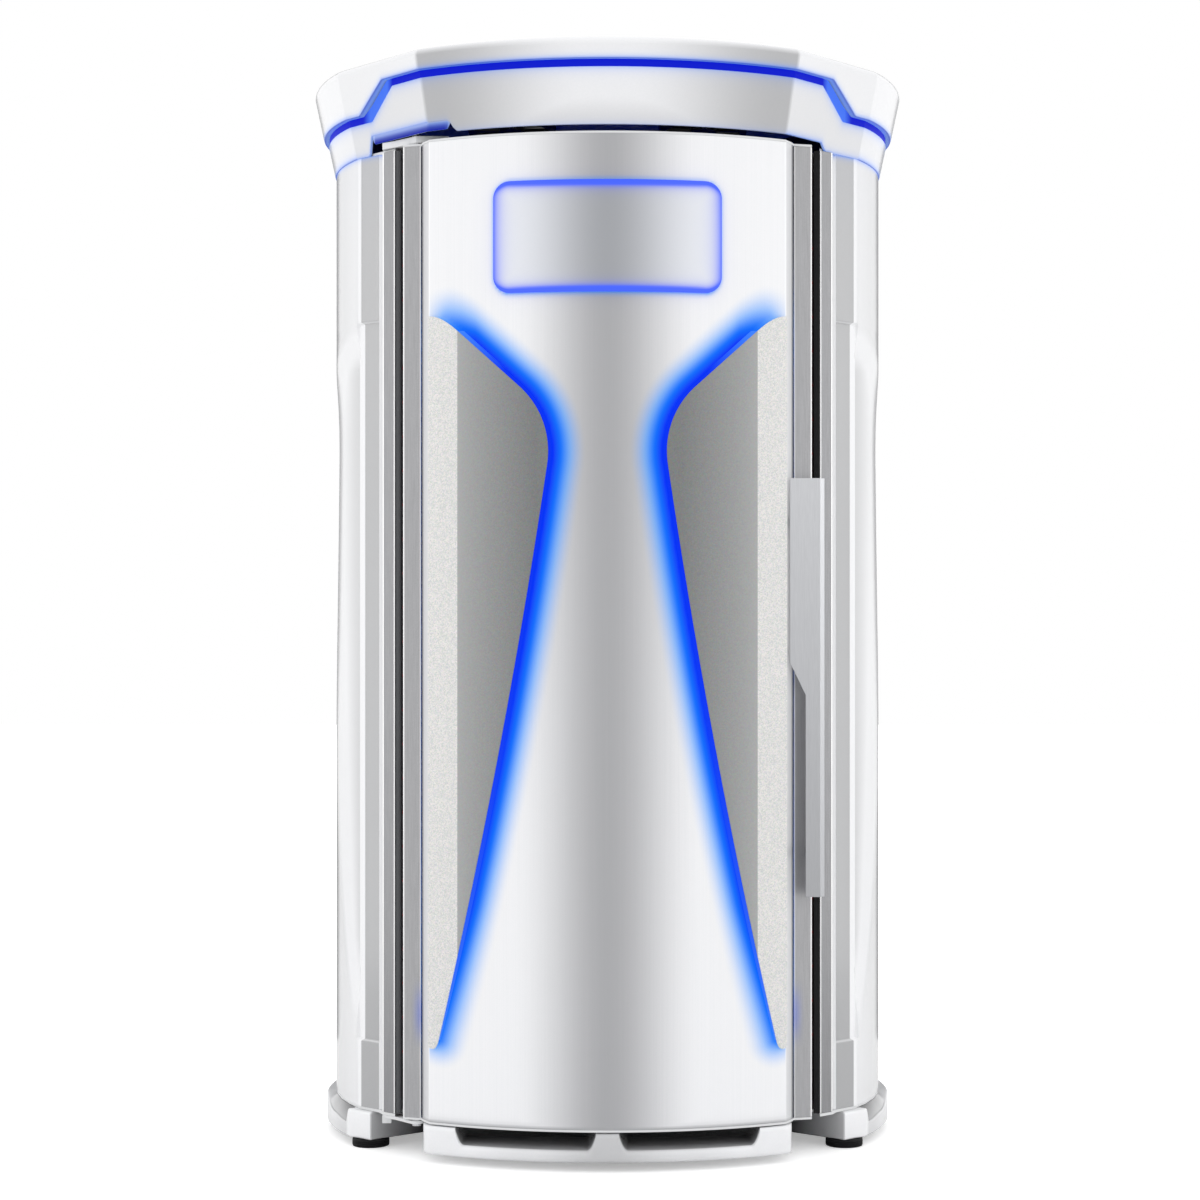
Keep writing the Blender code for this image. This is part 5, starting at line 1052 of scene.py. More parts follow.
def canopy_ring(name, profile_at, light_at, shade_at, material, node):
    """A ring swept round the canopy with its painted light and shade; its hidden points are painted dark.
    """
    sections = []
    light = []
    shade = []
    for station in canopy_stations:
        shown, hidden = profile_at(station)
        sections.append([(*canopy_point(radius, station), level) for radius, level in shown + hidden])
        light += [light_at(station, level) for _, level in shown] + [0.0] * len(hidden)
        shade += [shade_at(station, level) for _, level in shown] + [INSIDE_SHADE] * len(hidden)
    ring = make_piece(name, loft(sections, closed=True), material, "cabinet", node, sharp=CREASE)
    add_light(ring, light, shade)


def lower_light(station, level):
    """Blue light on the lower shell: under the groove, along its edge, and on the wall over the pivot."""
    below = max(0.0, groove_floor(station) - level)
    above = level - lower_edge(station)
    if above < -NOTCH_LIP_LEAST:
        return over_pivot(station) * between(-above, NOTCH_LIGHT)
    groove = GROOVE_LIGHT[station[0]] * math.exp(-below / GLOW_FALL)
    return groove + JOINT_LIGHT[station[0]] * math.exp(-max(0.0, above) / JOINT_FALL)


def upper_light(station, level):
    """Blue light on the upper shell, over the groove."""
    return ROOF_LIGHT * math.exp(-max(0.0, level - groove_roof(station)) / ROOF_FALL)


def front_shade(station):
    """Shade of the canopy's front, darker towards its two creases."""
    return eased(station[1], CREASE_SHADE)


def lower_shade(station, level):
    """Shade on the lower shell: on the front, along its lower edge, and on the flanks."""
    if station[0] != "front":
        return FLANK_SHADE[station[0]][0]
    return max(front_shade(station), eased(level - lower_edge(station), EDGE_SHADE))


def upper_shade(station, level):
    """Shade on the upper shell, ending over its rounded top edge."""
    whole = front_shade(station) if station[0] == "front" else FLANK_SHADE[station[0]][1]
    return whole * min(1.0, (canopy_top - level) / CANOPY_ROUND)


def strip_light(station, level):
    """The strip is paler where it is wide."""
    extra = groove_roof(station) - groove_floor(station) - GROOVE_HEIGHT
    return min(1.0, extra / GROOVE_HEIGHT)


canopy_ring("canopy_lower_skin", lower_profile, lower_light, lower_shade, white_abs,
            "canopy_lower_shell")
canopy_ring("canopy_strip_lens", strip_profile, strip_light, upper_shade, blue_light,
            "canopy_light_strip")
canopy_ring("canopy_upper_skin", upper_profile, upper_light, upper_shade, white_abs,
            "canopy_upper_shell")

# Ceiling, roof and what they carry: two extractor fans and the light driver inside the canopy.
# White powder-coated plate, a white ABS roof cover, black glass-filled plastic fans.


def moulded_plastic(name, colour, roughness):
    """Injection-moulded plastic with a fine spark-eroded texture."""
    material, tree, shader = start_material(name)
    texture = add_node(tree, "ShaderNodeTexNoise", {"Vector": coordinates(tree, GRAIN), "Scale": 1.0})
    bump = add_node(tree, "ShaderNodeBump", {
        "Height": texture.outputs["Fac"], "Strength": 0.2, "Distance": 0.0003})
    tree.links.new(bump.outputs["Normal"], shader.inputs["Normal"])
    shader.inputs["Base Color"].default_value = linear(colour)
    shader.inputs["Roughness"].default_value = roughness
    return material


black_plastic = moulded_plastic("black_glass_filled_nylon", "#1A1A1C", 0.48)
grey_plastic = moulded_plastic("grey_abs", "#C3C5C8", 0.42)
red_plastic = moulded_plastic("red_abs", "#C01818", 0.30)
dress("ceiling_plate", white_steel)
dress("roof_cover", white_abs)
for node in ("fan_frame_left", "fan_frame_right", "fan_rotor_left", "fan_rotor_right"):
    dress(node, black_plastic, 0.0005)
dress("light_driver", post_metal_painted_darker)

# Wall lights: six boards of red and infrared diodes round the cabin behind three clear covers.
# White solder mask, domed diode lenses set by a pattern, and polished clear acrylic.
WEAVE = (0.003, 0.003, 0.003)
board_white, tree, shader = start_material("white_solder_mask")
weave = add_node(tree, "ShaderNodeTexNoise", {"Vector": coordinates(tree, WEAVE), "Scale": 1.0})
tint = add_node(tree, "ShaderNodeMix", data_type="RGBA", inputs={
    0: weave.outputs["Fac"], 6: linear("#DCDAD2"), 7: linear("#EAE9E3")})
tree.links.new(tint.outputs[2], shader.inputs["Base Color"])
shader.inputs["Roughness"].default_value = 0.5

clear_acrylic, tree, shader = start_material("clear_polished_acrylic")
shader.inputs["Base Color"].default_value = linear("#F3F6F8")
shader.inputs["Transmission Weight"].default_value = 1.0
shader.inputs["Roughness"].default_value = 0.03
shader.inputs["IOR"].default_value = 1.49


def diode_lens(name, colour, strength):
    """Tinted epoxy dome with a little of its own light."""
    material, tree, shader = start_material(name)
    shader.inputs["Base Color"].default_value = linear(colour)
    shader.inputs["Roughness"].default_value = 0.12
    shader.inputs["Emission Color"].default_value = linear(colour)
    shader.inputs["Emission Strength"].default_value = strength
    material.cycles.emission_sampling = "NONE"
    return material


red_lens = diode_lens("red_diode_epoxy", "#E0201A", 0.25)
infrared_lens = diode_lens("infrared_diode_epoxy", "#5A1430", 0.1)
LENS_PROFILE = [(0.0040, 0.0), (0.0040, 0.0012), (0.0033, 0.0030), (0.0014, 0.0040)]
lens_shape = turned(LENS_PROFILE, (0.0, 0.0, 0.0), sides=8)
WALL_CAVITY = 0.070      # body surface to the wall boards' long edges
BOARD_FIRST_ANGLE = -20.0
BOARD_COUNT = 6
BOARD_GAP = 0.004
COVER_GAP = 0.0077       # wall board to its clear cover
COVER_THICKNESS = 0.003
COVER_JOINT = 0.6        # degrees between two covers
DIODE_COLUMNS = 8
DIODE_PITCH = 0.040      # metres between two rows of diodes
board_ring = BODY_RADIUS - WALL_CAVITY
board_span = (180.0 - 2.0 * BOARD_FIRST_ANGLE) / BOARD_COUNT
board_face = board_ring * math.cos(math.radians(0.5 * board_span))
board_width = 2.0 * board_ring * math.sin(math.radians(0.5 * board_span)) - BOARD_GAP
diode_rows = int((body_high.z - body_low.z) / DIODE_PITCH) - 1
diodes = ([], [])
facings = ([], [])
for board in range(BOARD_COUNT):
    dress(f"wall_light_board_{board + 1}", board_white)
    middle = BOARD_FIRST_ANGLE + board_span * (board + 0.5)
    outward = Vector((*polar(1.0, middle), 0.0))
    sideways = Vector((-outward.y, outward.x, 0.0))
    for row in range(diode_rows):
        level = body_low.z + DIODE_PITCH * (row + 1)
        for column in range(DIODE_COLUMNS):
            aside = board_width * ((column + 0.5) / DIODE_COLUMNS - 0.5)
            colour = (row + column) % 2
            on_board = outward * board_face + sideways * aside
            diodes[colour].append((on_board.x, on_board.y, level))
            facings[colour].append(tuple(-outward))
repeat("wall_red_diodes", lens_shape, diodes[0], facings[0], red_lens, "cabinet")
repeat("wall_infrared_diodes", lens_shape, diodes[1], facings[1], infrared_lens, "cabinet")
cover_outer = board_face - COVER_GAP
cover_span = (180.0 - 2.0 * BOARD_FIRST_ANGLE) / 3.0
cover_low, cover_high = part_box("wall_cover_rear")
for index, place in enumerate(("right", "rear", "left")):
    begin = BOARD_FIRST_ANGLE + cover_span * index + 0.5 * COVER_JOINT
    turns = [begin + (cover_span - COVER_JOINT) * step / 48.0 for step in range(49)]
    outline = [polar(cover_outer, turn) for turn in turns]
    outline += [polar(cover_outer - COVER_THICKNESS, turn) for turn in reversed(turns)]
    make_piece("wall_lens_" + place, prism(outline, cover_low.z, cover_high.z), clear_acrylic, "cabinet",
               "wall_cover_" + place)

# Fittings on the frame: the control box with its stop button, the power gland and the door catch.
# Grey ABS box, a domed red button, black nylon gland and catch.
dress("control_box", grey_plastic, 0.003)
button_low, button_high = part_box("stop_button")
button_radius = 0.5 * (button_high.z - button_low.z)
button_middle = 0.5 * (button_low + button_high)
BUTTON_HEAD = 0.010
BUTTON_STEM_RADIUS = 0.007
BUTTON_EDGE = 0.001
BUTTON_DOME = ((0.15, 0.0), (0.55, 0.0006), (0.85, 0.0022), (1.0, 0.0050))  # share of the radius, height
button_profile = [(share * button_radius, height) for share, height in BUTTON_DOME]
button_profile += [(button_radius, BUTTON_HEAD - BUTTON_EDGE), (button_radius - BUTTON_EDGE, BUTTON_HEAD)]
button_profile += [(BUTTON_STEM_RADIUS, BUTTON_HEAD), (BUTTON_STEM_RADIUS, button_high.x - button_low.x)]
button_shape = turned(button_profile, (button_low.x, button_middle.y, button_middle.z), axis="X")
make_piece("stop_button_head", button_shape, red_plastic, "stop_button", "stop_button")
dress("power_gland", black_plastic)
dress("catch_magnet", black_plastic)

# Door skin: one curved sheet with slanted returns at its sides, pearl white with a faint vertical grain.
# Along the wings and round the sign it takes painted blue light from the light guides, and painted shade
# greys its middle, its slanted returns and its lower rim.
wing_low, wing_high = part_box("wing_trim_right")
sign_low, sign_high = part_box("sign_plate")
STREAK = (0.0022, 0.0022, 0.500)
PEARL = (0.0014, 0.0014, 0.0014)
pearl_white, tree, shader = start_material("pearl_white_film")
glow = add_node(tree, "ShaderNodeAttribute", attribute_name="glow")
shade = add_node(tree, "ShaderNodeAttribute", attribute_name="shade")
streak = add_node(tree, "ShaderNodeTexNoise", {"Vector": coordinates(tree, STREAK), "Scale": 1.0})
flake = add_node(tree, "ShaderNodeTexNoise", {"Vector": coordinates(tree, PEARL), "Scale": 1.0})
both = add_node(tree, "ShaderNodeMath", operation="ADD", inputs={
    0: streak.outputs["Fac"], 1: flake.outputs["Fac"]})
share = add_node(tree, "ShaderNodeMapRange", {
    "Value": both.outputs[0], "From Min": 0.6, "From Max": 1.4})
tint = add_node(tree, "ShaderNodeMix", data_type="RGBA", inputs={
    0: share.outputs["Result"], 6: linear("#F3F4F6"), 7: linear("#FAFAFC")})
shaded = add_node(tree, "ShaderNodeMix", data_type="RGBA", inputs={
    0: shade.outputs["Fac"], 6: tint.outputs[2], 7: linear("#6E6E72")})
flood = add_node(tree, "ShaderNodeMapRange", interpolation_type="SMOOTHSTEP", inputs={
    "Value": glow.outputs["Fac"], "From Min": 0.03, "From Max": 0.83})
lit = add_node(tree, "ShaderNodeMix", data_type="RGBA", inputs={
    0: flood.outputs["Result"], 6: shaded.outputs[2], 7: linear("#05081A")})
near = add_node(tree, "ShaderNodeMapRange", {
    "Value": glow.outputs["Fac"], "From Min": 0.49, "From Max": 1.0})
beam = add_node(tree, "ShaderNodeMix", data_type="RGBA", inputs={
    0: near.outputs["Result"], 6: linear("#009CFF"), 7: linear("#0832F8")})
tree.links.new(lit.outputs[2], shader.inputs["Base Color"])
tree.links.new(beam.outputs[2], shader.inputs["Emission Color"])
tree.links.new(flood.outputs["Result"], shader.inputs["Emission Strength"])
dry = add_node(tree, "ShaderNodeMapRange", {
    "Value": flood.outputs["Result"], "To Min": 0.5, "To Max": 0.05})
tree.links.new(dry.outputs["Result"], shader.inputs["Specular IOR Level"])
tree.links.new(dry.outputs["Result"], shader.inputs["Coat Weight"])
shader.inputs["Metallic"].default_value = 0.05
shader.inputs["Roughness"].default_value = 0.34
shader.inputs["Coat Roughness"].default_value = 0.15

DOOR_HALF_WIDTH = 0.3706
DOOR_SKIN = 0.003
SKIN_ROUND = 0.004       # rounding between the skin's face and its returns
return_end = Vector((skin_high.x, skin_high.y))


def door_point(x, z, rise):
    """Point over the door's outer face at a sideways place, raised along the face's normal."""
    turn = math.asin(x / DOOR_RADIUS)
    reach = DOOR_RADIUS + rise
    return (reach * math.sin(turn), door_centre_y - reach * math.cos(turn), z)


WING_SIDE_INSET = 0.0005
WING_OUTER_X = DOOR_HALF_WIDTH - WING_SIDE_INSET
WING_TOP_WIDTH = 0.004
WING_TIP_WIDTH = 0.012
WING_TIP_ROUND = 0.0186
WING_FOLD_X = 0.306
WING_FOLD_DROP = 0.0341
WING_SHOULDER_X = 0.1066
WING_SHOULDER_DROP = 0.2178
WING_SHOULDER_RADIUS = 0.181
WING_FLANK_LEAN = 0.1465  # sideways per downward, below the shoulder
WING_TIP_X = 0.347
CREST_STEPS = 24
SHOULDER_STEPS = 24
FLANK_STEPS = 70


def curve(start, pull, end, share):
    """Point on a three-point curve."""
    return start.lerp(pull, share).lerp(pull.lerp(end, share), share)


def wing_edge_path():
    """Inner edge of the right wing as (x, z) points: fold corner, rounded shoulder, bowed flank, tip."""
    fold = Vector((WING_FOLD_X, wing_high.z - WING_FOLD_DROP))
    shoulder = Vector((WING_SHOULDER_X, wing_high.z - WING_SHOULDER_DROP))
    tip = Vector((WING_TIP_X, wing_low.z + WING_TIP_ROUND))
    up = (fold - shoulder).normalized()
    down = Vector((WING_FLANK_LEAN, -1.0)).normalized()
    half_angle = 0.5 * up.angle(down)
    reach = WING_SHOULDER_RADIUS / math.tan(half_angle)
    centre = shoulder + (up + down).normalized() * WING_SHOULDER_RADIUS / math.sin(half_angle)
    begin = shoulder + up * reach - centre
    turn = math.pi - 2.0 * half_angle
    first = centre + begin
    points = [fold.lerp(first, step / CREST_STEPS) for step in range(CREST_STEPS)]
    for step in range(SHOULDER_STEPS + 1):
        spoke = begin.copy()
        spoke.rotate(Matrix.Rotation(turn * step / SHOULDER_STEPS, 2))
        points.append(centre + spoke)
    last = points[-1].copy()
    bend = last + down * 0.5 * (tip - last).length
    return points + [curve(last, bend, tip, step / FLANK_STEPS) for step in range(1, FLANK_STEPS + 1)]


wing_path = wing_edge_path()
crest = wing_path[0] - wing_path[1]
brow = Vector((WING_FOLD_X + WING_FOLD_DROP * crest.x / crest.y, wing_high.z))
wing_peak = Vector((WING_OUTER_X - WING_TOP_WIDTH, wing_high.z))
CROWN_STEPS = 10
wing_crown = [curve(wing_peak, brow, wing_path[0], step / CROWN_STEPS) for step in range(CROWN_STEPS)]


def distance_to(points, line):
    """Least distance of each point from a run of straight pieces."""
    least = np.full(len(points), np.inf)
    for start, end in zip(line, line[1:]):
        along = end - start
        share = np.clip((points - start) @ along / (along @ along), 0.0, 1.0)
        gap = points - start - share[:, None] * along
        least = np.minimum(least, np.hypot(gap[:, 0], gap[:, 1]))
    return least


SIGN_CORNER = 0.034
sign_middle = 0.5 * (sign_low + sign_high)
sign_half_width = sign_high.x * DOOR_RADIUS / (door_centre_y - sign_low.y)
sign_half_height = 0.5 * (sign_high.z - sign_low.z)


def outside_sign(points):
    """Distance of each (x, z) point from the sign's rounded outline, negative inside it."""
    core = np.array([sign_half_width - SIGN_CORNER, sign_half_height - SIGN_CORNER])
    past = np.abs(points - np.array([0.0, sign_middle.z])) - core
    outer = np.hypot(*np.maximum(past, 0.0).T)
    return outer + np.minimum(past.max(axis=1), 0.0) - SIGN_CORNER


def places_on_door(piece):
    """Each point of a piece as (x on the door's face, z)."""
    points = np.empty(3 * len(piece.data.vertices))
    piece.data.vertices.foreach_get("co", points)
    points = points.reshape(-1, 3)
    turn = np.arctan2(points[:, 0], door_centre_y - points[:, 1])
    return np.column_stack((DOOR_RADIUS * np.sin(turn), points[:, 2]))


SKIN_COLUMNS = 110
SKIN_ROWS = 290
EDGE_STEPS = 5
RETURN_FOLD = 0.7        # share of a return's width after which it darkens towards the stile
edge_start = Vector(door_arc(DOOR_RADIUS, 0.0, DOOR_HALF_WIDTH, 1)[1])
to_return = (return_end - edge_start).normalized()
face_half = door_arc(DOOR_RADIUS, 0.0, DOOR_HALF_WIDTH - SKIN_ROUND, SKIN_COLUMNS // 2)
skin_half = [Vector(point) for point in face_half]
face_end = skin_half[-1]
return_start = edge_start + to_return * SKIN_ROUND
for step in range(1, EDGE_STEPS + 1):
    skin_half.append(curve(face_end, edge_start, return_start, step / EDGE_STEPS))
skin_half += [return_start.lerp(return_end, RETURN_FOLD), return_end]
skin_row = [Vector((-p.x, p.y)) for p in reversed(skin_half[1:])] + skin_half
skin_back = drawn_in(skin_row, DOOR_SKIN)
skin_height = skin_high.z - skin_low.z
skin_levels = [skin_low.z + skin_height * step / SKIN_ROWS for step in range(SKIN_ROWS + 1)]
skin_front_grid = [[(p.x, p.y, z) for p in skin_row] for z in skin_levels]
skin_back_grid = [[(p.x, p.y, z) for p in skin_back] for z in skin_levels]
door_sheet = make_piece("door_sheet", slab(skin_front_grid, skin_back_grid), pearl_white, "door",
                        "door_skin")
GUIDE_FLOOD = 0.070      # how far the guides' light reaches over the skin
GUIDE_CORE = 0.008       # width of the evenly bright band along them
TIP_SHORTER = 0.012      # how much narrower both are at the wings' lower tips
BESIDE_WING = 0.2        # share of their light that is left outside the wings
SIGN_GLOW = 0.58
SIGN_FALL = 0.006        # metres over which the sign's light on the skin falls off
SHADE_REACH = 0.20       # sideways from the door's middle, where its grey ends
MIDDLE_SHADE = 0.68
CREST_FADE = 0.100       # inward from the door's edge, where the guides reach their full light
CREST_TIP = 0.40         # share of that light at the wings' upper tips
FLANK_FADE = 0.300       # the same upward from the wings' lower tips
FLANK_TIP = 0.80
RETURN_SHADE = (0.30, 1.0)  # on the slanted returns, at the face and beside the stiles
RETURN_RAMP = 0.002
RIM_SHADE = 0.7          # of the door's lower rim
RIM_SHADE_FALL = 0.005   # height over which it ends


def middle_shade(across):
    """Shade of the door at each distance from its middle line."""
    share = np.clip(across / SHADE_REACH, 0.0, 1.0)
    return MIDDLE_SHADE * (1.0 - share * share * (3.0 - 2.0 * share))


places = places_on_door(door_sheet)
right_edge = [np.array(point) for point in wing_crown[CROWN_STEPS // 2:] + wing_path]
mirror = np.abs(places[:, 0])
near_wing = distance_to(np.column_stack((mirror, places[:, 1])), right_edge)
down_wing = np.clip((wing_high.z - places[:, 1]) / (wing_high.z - wing_low.z), 0.0, 1.0)
near_wing += -GUIDE_CORE + TIP_SHORTER * down_wing ** 3
door_glow = np.clip(1.0 - near_wing / GUIDE_FLOOD, 0.0, 1.0)
from_tip = np.clip((WING_OUTER_X - mirror) / CREST_FADE, 0.0, 1.0)
on_crest = places[:, 1] > wing_high.z - WING_SHOULDER_DROP
door_glow[on_crest] *= CREST_TIP + (1.0 - CREST_TIP) * from_tip[on_crest]
from_tip = np.clip((places[:, 1] - wing_low.z) / FLANK_FADE, 0.0, 1.0)
door_glow *= FLANK_TIP + (1.0 - FLANK_TIP) * from_tip
door_glow[mirror > WING_OUTER_X] *= BESIDE_WING
door_glow = np.maximum(door_glow, SIGN_GLOW * np.exp(-np.abs(outside_sign(places)) / SIGN_FALL))
rim_shade = RIM_SHADE * np.exp(-(places[:, 1] - skin_low.z) / RIM_SHADE_FALL)
sideways = np.abs([vertex.co.x for vertex in door_sheet.data.vertices])
return_places = [DOOR_HALF_WIDTH, DOOR_HALF_WIDTH + RETURN_RAMP, skin_half[-2].x, return_end.x]
return_shade = np.interp(sideways, return_places, [0.0, RETURN_SHADE[0], RETURN_SHADE[0], RETURN_SHADE[1]])
add_light(door_sheet, door_glow, np.maximum(middle_shade(mirror), np.maximum(rim_shade, return_shade)))

# Door frame and lining: aluminium stiles down both sides, which take a little painted blue light beside
# the wings' tips, white caps across top and bottom, the inner panel, and the door's diodes behind a clear
# bowed cover.
stile_low, stile_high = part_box("latch_stile")
# Painted light: the stiles' copy of the aluminium is lighter than the posts' copy of the same metal.
stile_metal_painted_lighter = anodised("stiles_satin_anodised_painted_lighter", "#A0A0A2", "#BCBCBE", stile_low.x, stile_high.x)
SPILL_ABOVE_TIP = 0.066  # middle of the painted blue light from the wings' lower tips on the stiles
SPILL_REACH = (0.024, 0.080)  # how far it reaches outward, and up and down
tree = stile_metal_painted_lighter.node_tree
shader = tree.nodes["Principled BSDF"]
place = add_node(tree, "ShaderNodeTexCoord")
place = add_node(tree, "ShaderNodeSeparateXYZ", {0: place.outputs["Object"]})
across = add_node(tree, "ShaderNodeMath", {0: place.outputs["X"]}, operation="ABSOLUTE")
aside = add_node(tree, "ShaderNodeMapRange", interpolation_type="SMOOTHSTEP", inputs={
    "Value": across.outputs[0], "From Min": stile_low.x, "From Max": stile_low.x + SPILL_REACH[0],
    "To Min": 0.42, "To Max": 0.0})
above = add_node(tree, "ShaderNodeMath", operation="SUBTRACT", inputs={
    0: place.outputs["Z"], 1: wing_low.z + SPILL_ABOVE_TIP})
above = add_node(tree, "ShaderNodeMath", {0: above.outputs[0]}, operation="ABSOLUTE")
beside = add_node(tree, "ShaderNodeMapRange", interpolation_type="SMOOTHSTEP", inputs={
    "Value": above.outputs[0], "From Max": SPILL_REACH[1], "To Min": 1.0, "To Max": 0.0})
spill = add_node(tree, "ShaderNodeMath", operation="MULTIPLY", inputs={
    0: aside.outputs["Result"], 1: beside.outputs["Result"]})
bare = shader.inputs["Base Color"].links[0].from_socket
tint = add_node(tree, "ShaderNodeMix", data_type="RGBA", inputs={
    0: spill.outputs[0], 6: bare, 7: linear("#3C68E8")})
tree.links.new(tint.outputs[2], shader.inputs["Base Color"])
for node in ("hinge_stile", "latch_stile"):
    dress(node, stile_metal_painted_lighter, 0.001)
for node in ("door_top_cap", "door_bottom_cap", "door_inner_panel"):
    dress(node, white_steel)
dress("door_light_board", board_white)
board_low, board_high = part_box("door_light_board")
BOARD_THICKNESS = 0.003
DOOR_DIODE_COLUMNS = 16
DOOR_BOARD_HALF = 0.3306
board_radius = door_centre_y - board_low.y - BOARD_THICKNESS
door_rows = int((board_high.z - board_low.z) / DIODE_PITCH) - 1
board_turn = math.asin(DOOR_BOARD_HALF / board_radius)
diodes = ([], [])
facings = ([], [])
for row in range(door_rows):
    level = board_low.z + DIODE_PITCH * (row + 1)
    for column in range(DOOR_DIODE_COLUMNS):
        turn = board_turn * (2.0 * (column + 0.5) / DOOR_DIODE_COLUMNS - 1.0)
        colour = (row + column) % 2
        inward = Vector((-math.sin(turn), math.cos(turn)))
        diodes[colour].append((-board_radius * inward.x, door_centre_y - board_radius * inward.y, level))
        facings[colour].append((inward.x, inward.y, 0.0))
repeat("door_red_diodes", lens_shape, diodes[0], facings[0], red_lens, "door")
repeat("door_infrared_diodes", lens_shape, diodes[1], facings[1], infrared_lens, "door")
cover_low, cover_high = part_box("door_cover")
COVER_INSET = 0.015      # cover in from the skin's edges
LENS_FACE = 0.675        # radius of the cover's face round the door's centre
LENS_STEPS = 48
cover_half = DOOR_HALF_WIDTH - COVER_INSET
lens_seat = board_radius + BOARD_THICKNESS
seat_inner = cover_half - COVER_THICKNESS
face_inner = cover_half - 2.0 * COVER_THICKNESS
lens_outline = door_arc(lens_seat, cover_half, seat_inner, 1)
lens_outline += door_arc(LENS_FACE + COVER_THICKNESS, face_inner, -face_inner, LENS_STEPS)
lens_outline += door_arc(lens_seat, -seat_inner, -cover_half, 1)
lens_outline += door_arc(LENS_FACE, -cover_half, cover_half, LENS_STEPS)
make_piece("door_lens", prism(lens_outline, cover_low.z, cover_high.z), clear_acrylic, "door",
           "door_cover")

# Wings: two raised silver trims beside the door's middle, each a bright sparkling strip along the door's
# edge and a leaf that runs in to the light guide, painted darker than the strip with painted shade that
# deepens inward from the fold. Metallic film over a moulded sheet.
SPARKLE = (0.0022, 0.0022, 0.0022)
WING_FOLD_RISE = 0.009   # wing thickness at the fold
fold_x = WING_FOLD_X * (DOOR_RADIUS + WING_FOLD_RISE) / DOOR_RADIUS
wing_film, tree, shader = start_material("silver_metallic_film")
shade = add_node(tree, "ShaderNodeAttribute", attribute_name="shade")
place = add_node(tree, "ShaderNodeTexCoord")
place = add_node(tree, "ShaderNodeSeparateXYZ", {0: place.outputs["Object"]})
across = add_node(tree, "ShaderNodeMath", {0: place.outputs["X"]}, operation="ABSOLUTE")
strip = add_node(tree, "ShaderNodeMath", operation="GREATER_THAN", inputs={
    0: across.outputs[0], 1: fold_x})
flake = add_node(tree, "ShaderNodeTexVoronoi", {"Vector": coordinates(tree, SPARKLE), "Scale": 1.0})
flakes = add_node(tree, "ShaderNodeSeparateColor", {"Color": flake.outputs["Color"]})
bright = add_node(tree, "ShaderNodeMix", data_type="RGBA", inputs={
    0: flakes.outputs["Red"], 6: linear("#D4D4D2"), 7: linear("#EEEDEB")})
bright = add_node(tree, "ShaderNodeMix", data_type="RGBA", inputs={
    0: 0.06, 6: bright.outputs[2], 7: flake.outputs["Color"]})
# Painted shade: the leaf is greyer than the strip and darkens inward from the fold, by the stored shade.
grey = add_node(tree, "ShaderNodeMix", data_type="RGBA", inputs={
    0: shade.outputs["Fac"], 6: linear("#ABACAC"), 7: linear("#797B7B")})
dull = add_node(tree, "ShaderNodeMix", data_type="RGBA", inputs={
    0: 0.06, 6: grey.outputs[2], 7: flake.outputs["Color"]})
tint = add_node(tree, "ShaderNodeMix", data_type="RGBA", inputs={
    0: strip.outputs[0], 6: dull.outputs[2], 7: bright.outputs[2]})
bump = add_node(tree, "ShaderNodeBump", {
    "Height": flakes.outputs["Green"], "Strength": 0.20, "Distance": 0.0003})
tree.links.new(tint.outputs[2], shader.inputs["Base Color"])
tree.links.new(bump.outputs["Normal"], shader.inputs["Normal"])
shader.inputs["Metallic"].default_value = 0.40
shader.inputs["Roughness"].default_value = 0.45

WING_EDGE = 0.006        # wing thickness at the door's edge
WING_SLOPE = 0.045
WING_SHEET = 0.0025
WING_EDGE_FALL = 0.00075  # how far the inner edge is rounded down
WING_LIFT = 0.0012       # moulding's back over the skin, inside its edge
GUIDE_REBATE = 0.014     # how far the light guide runs under the wing
GUIDE_REACH = 0.007      # how far it shows beside the wing
GUIDE_TAPER = 0.85       # share of that which is gone at the lower tip
GUIDE_GAP = 0.001
GUIDE_LIFT = 0.0009
wing_blue = light_guide("blue_light_guide", "#0532F4", "#4488FF")
LEAF_SHADE_REACH = 0.16  # inward from the fold, where the leaf's painted shade is darkest
OUTER_ROUND = 0.008      # rounding of the tip's outer corner
LEAF_COLUMNS = 16
STRIP_COLUMNS = 6


def wing_rise(x):
    """Height of the wing's face over the skin at a sideways place."""
    if x > WING_FOLD_X:
        share = (WING_OUTER_X - x) / (WING_OUTER_X - WING_FOLD_X)
        return WING_EDGE + (WING_FOLD_RISE - WING_EDGE) * share
    return WING_FOLD_RISE + WING_SLOPE * (WING_FOLD_X - x)


TIP_PULL = (0.004, 0.002)  # outward and upward, where the tip's round bends
TIP_STEPS = 6
tip_bend = Vector((WING_TIP_X + TIP_PULL[0], wing_low.z + TIP_PULL[1]))
tip_end = Vector((WING_OUTER_X - WING_TIP_WIDTH, wing_low.z))
wing_rows = wing_crown + wing_path
for step in range(1, TIP_STEPS + 1):
    wing_rows.append(curve(wing_path[-1], tip_bend, tip_end, step / TIP_STEPS))


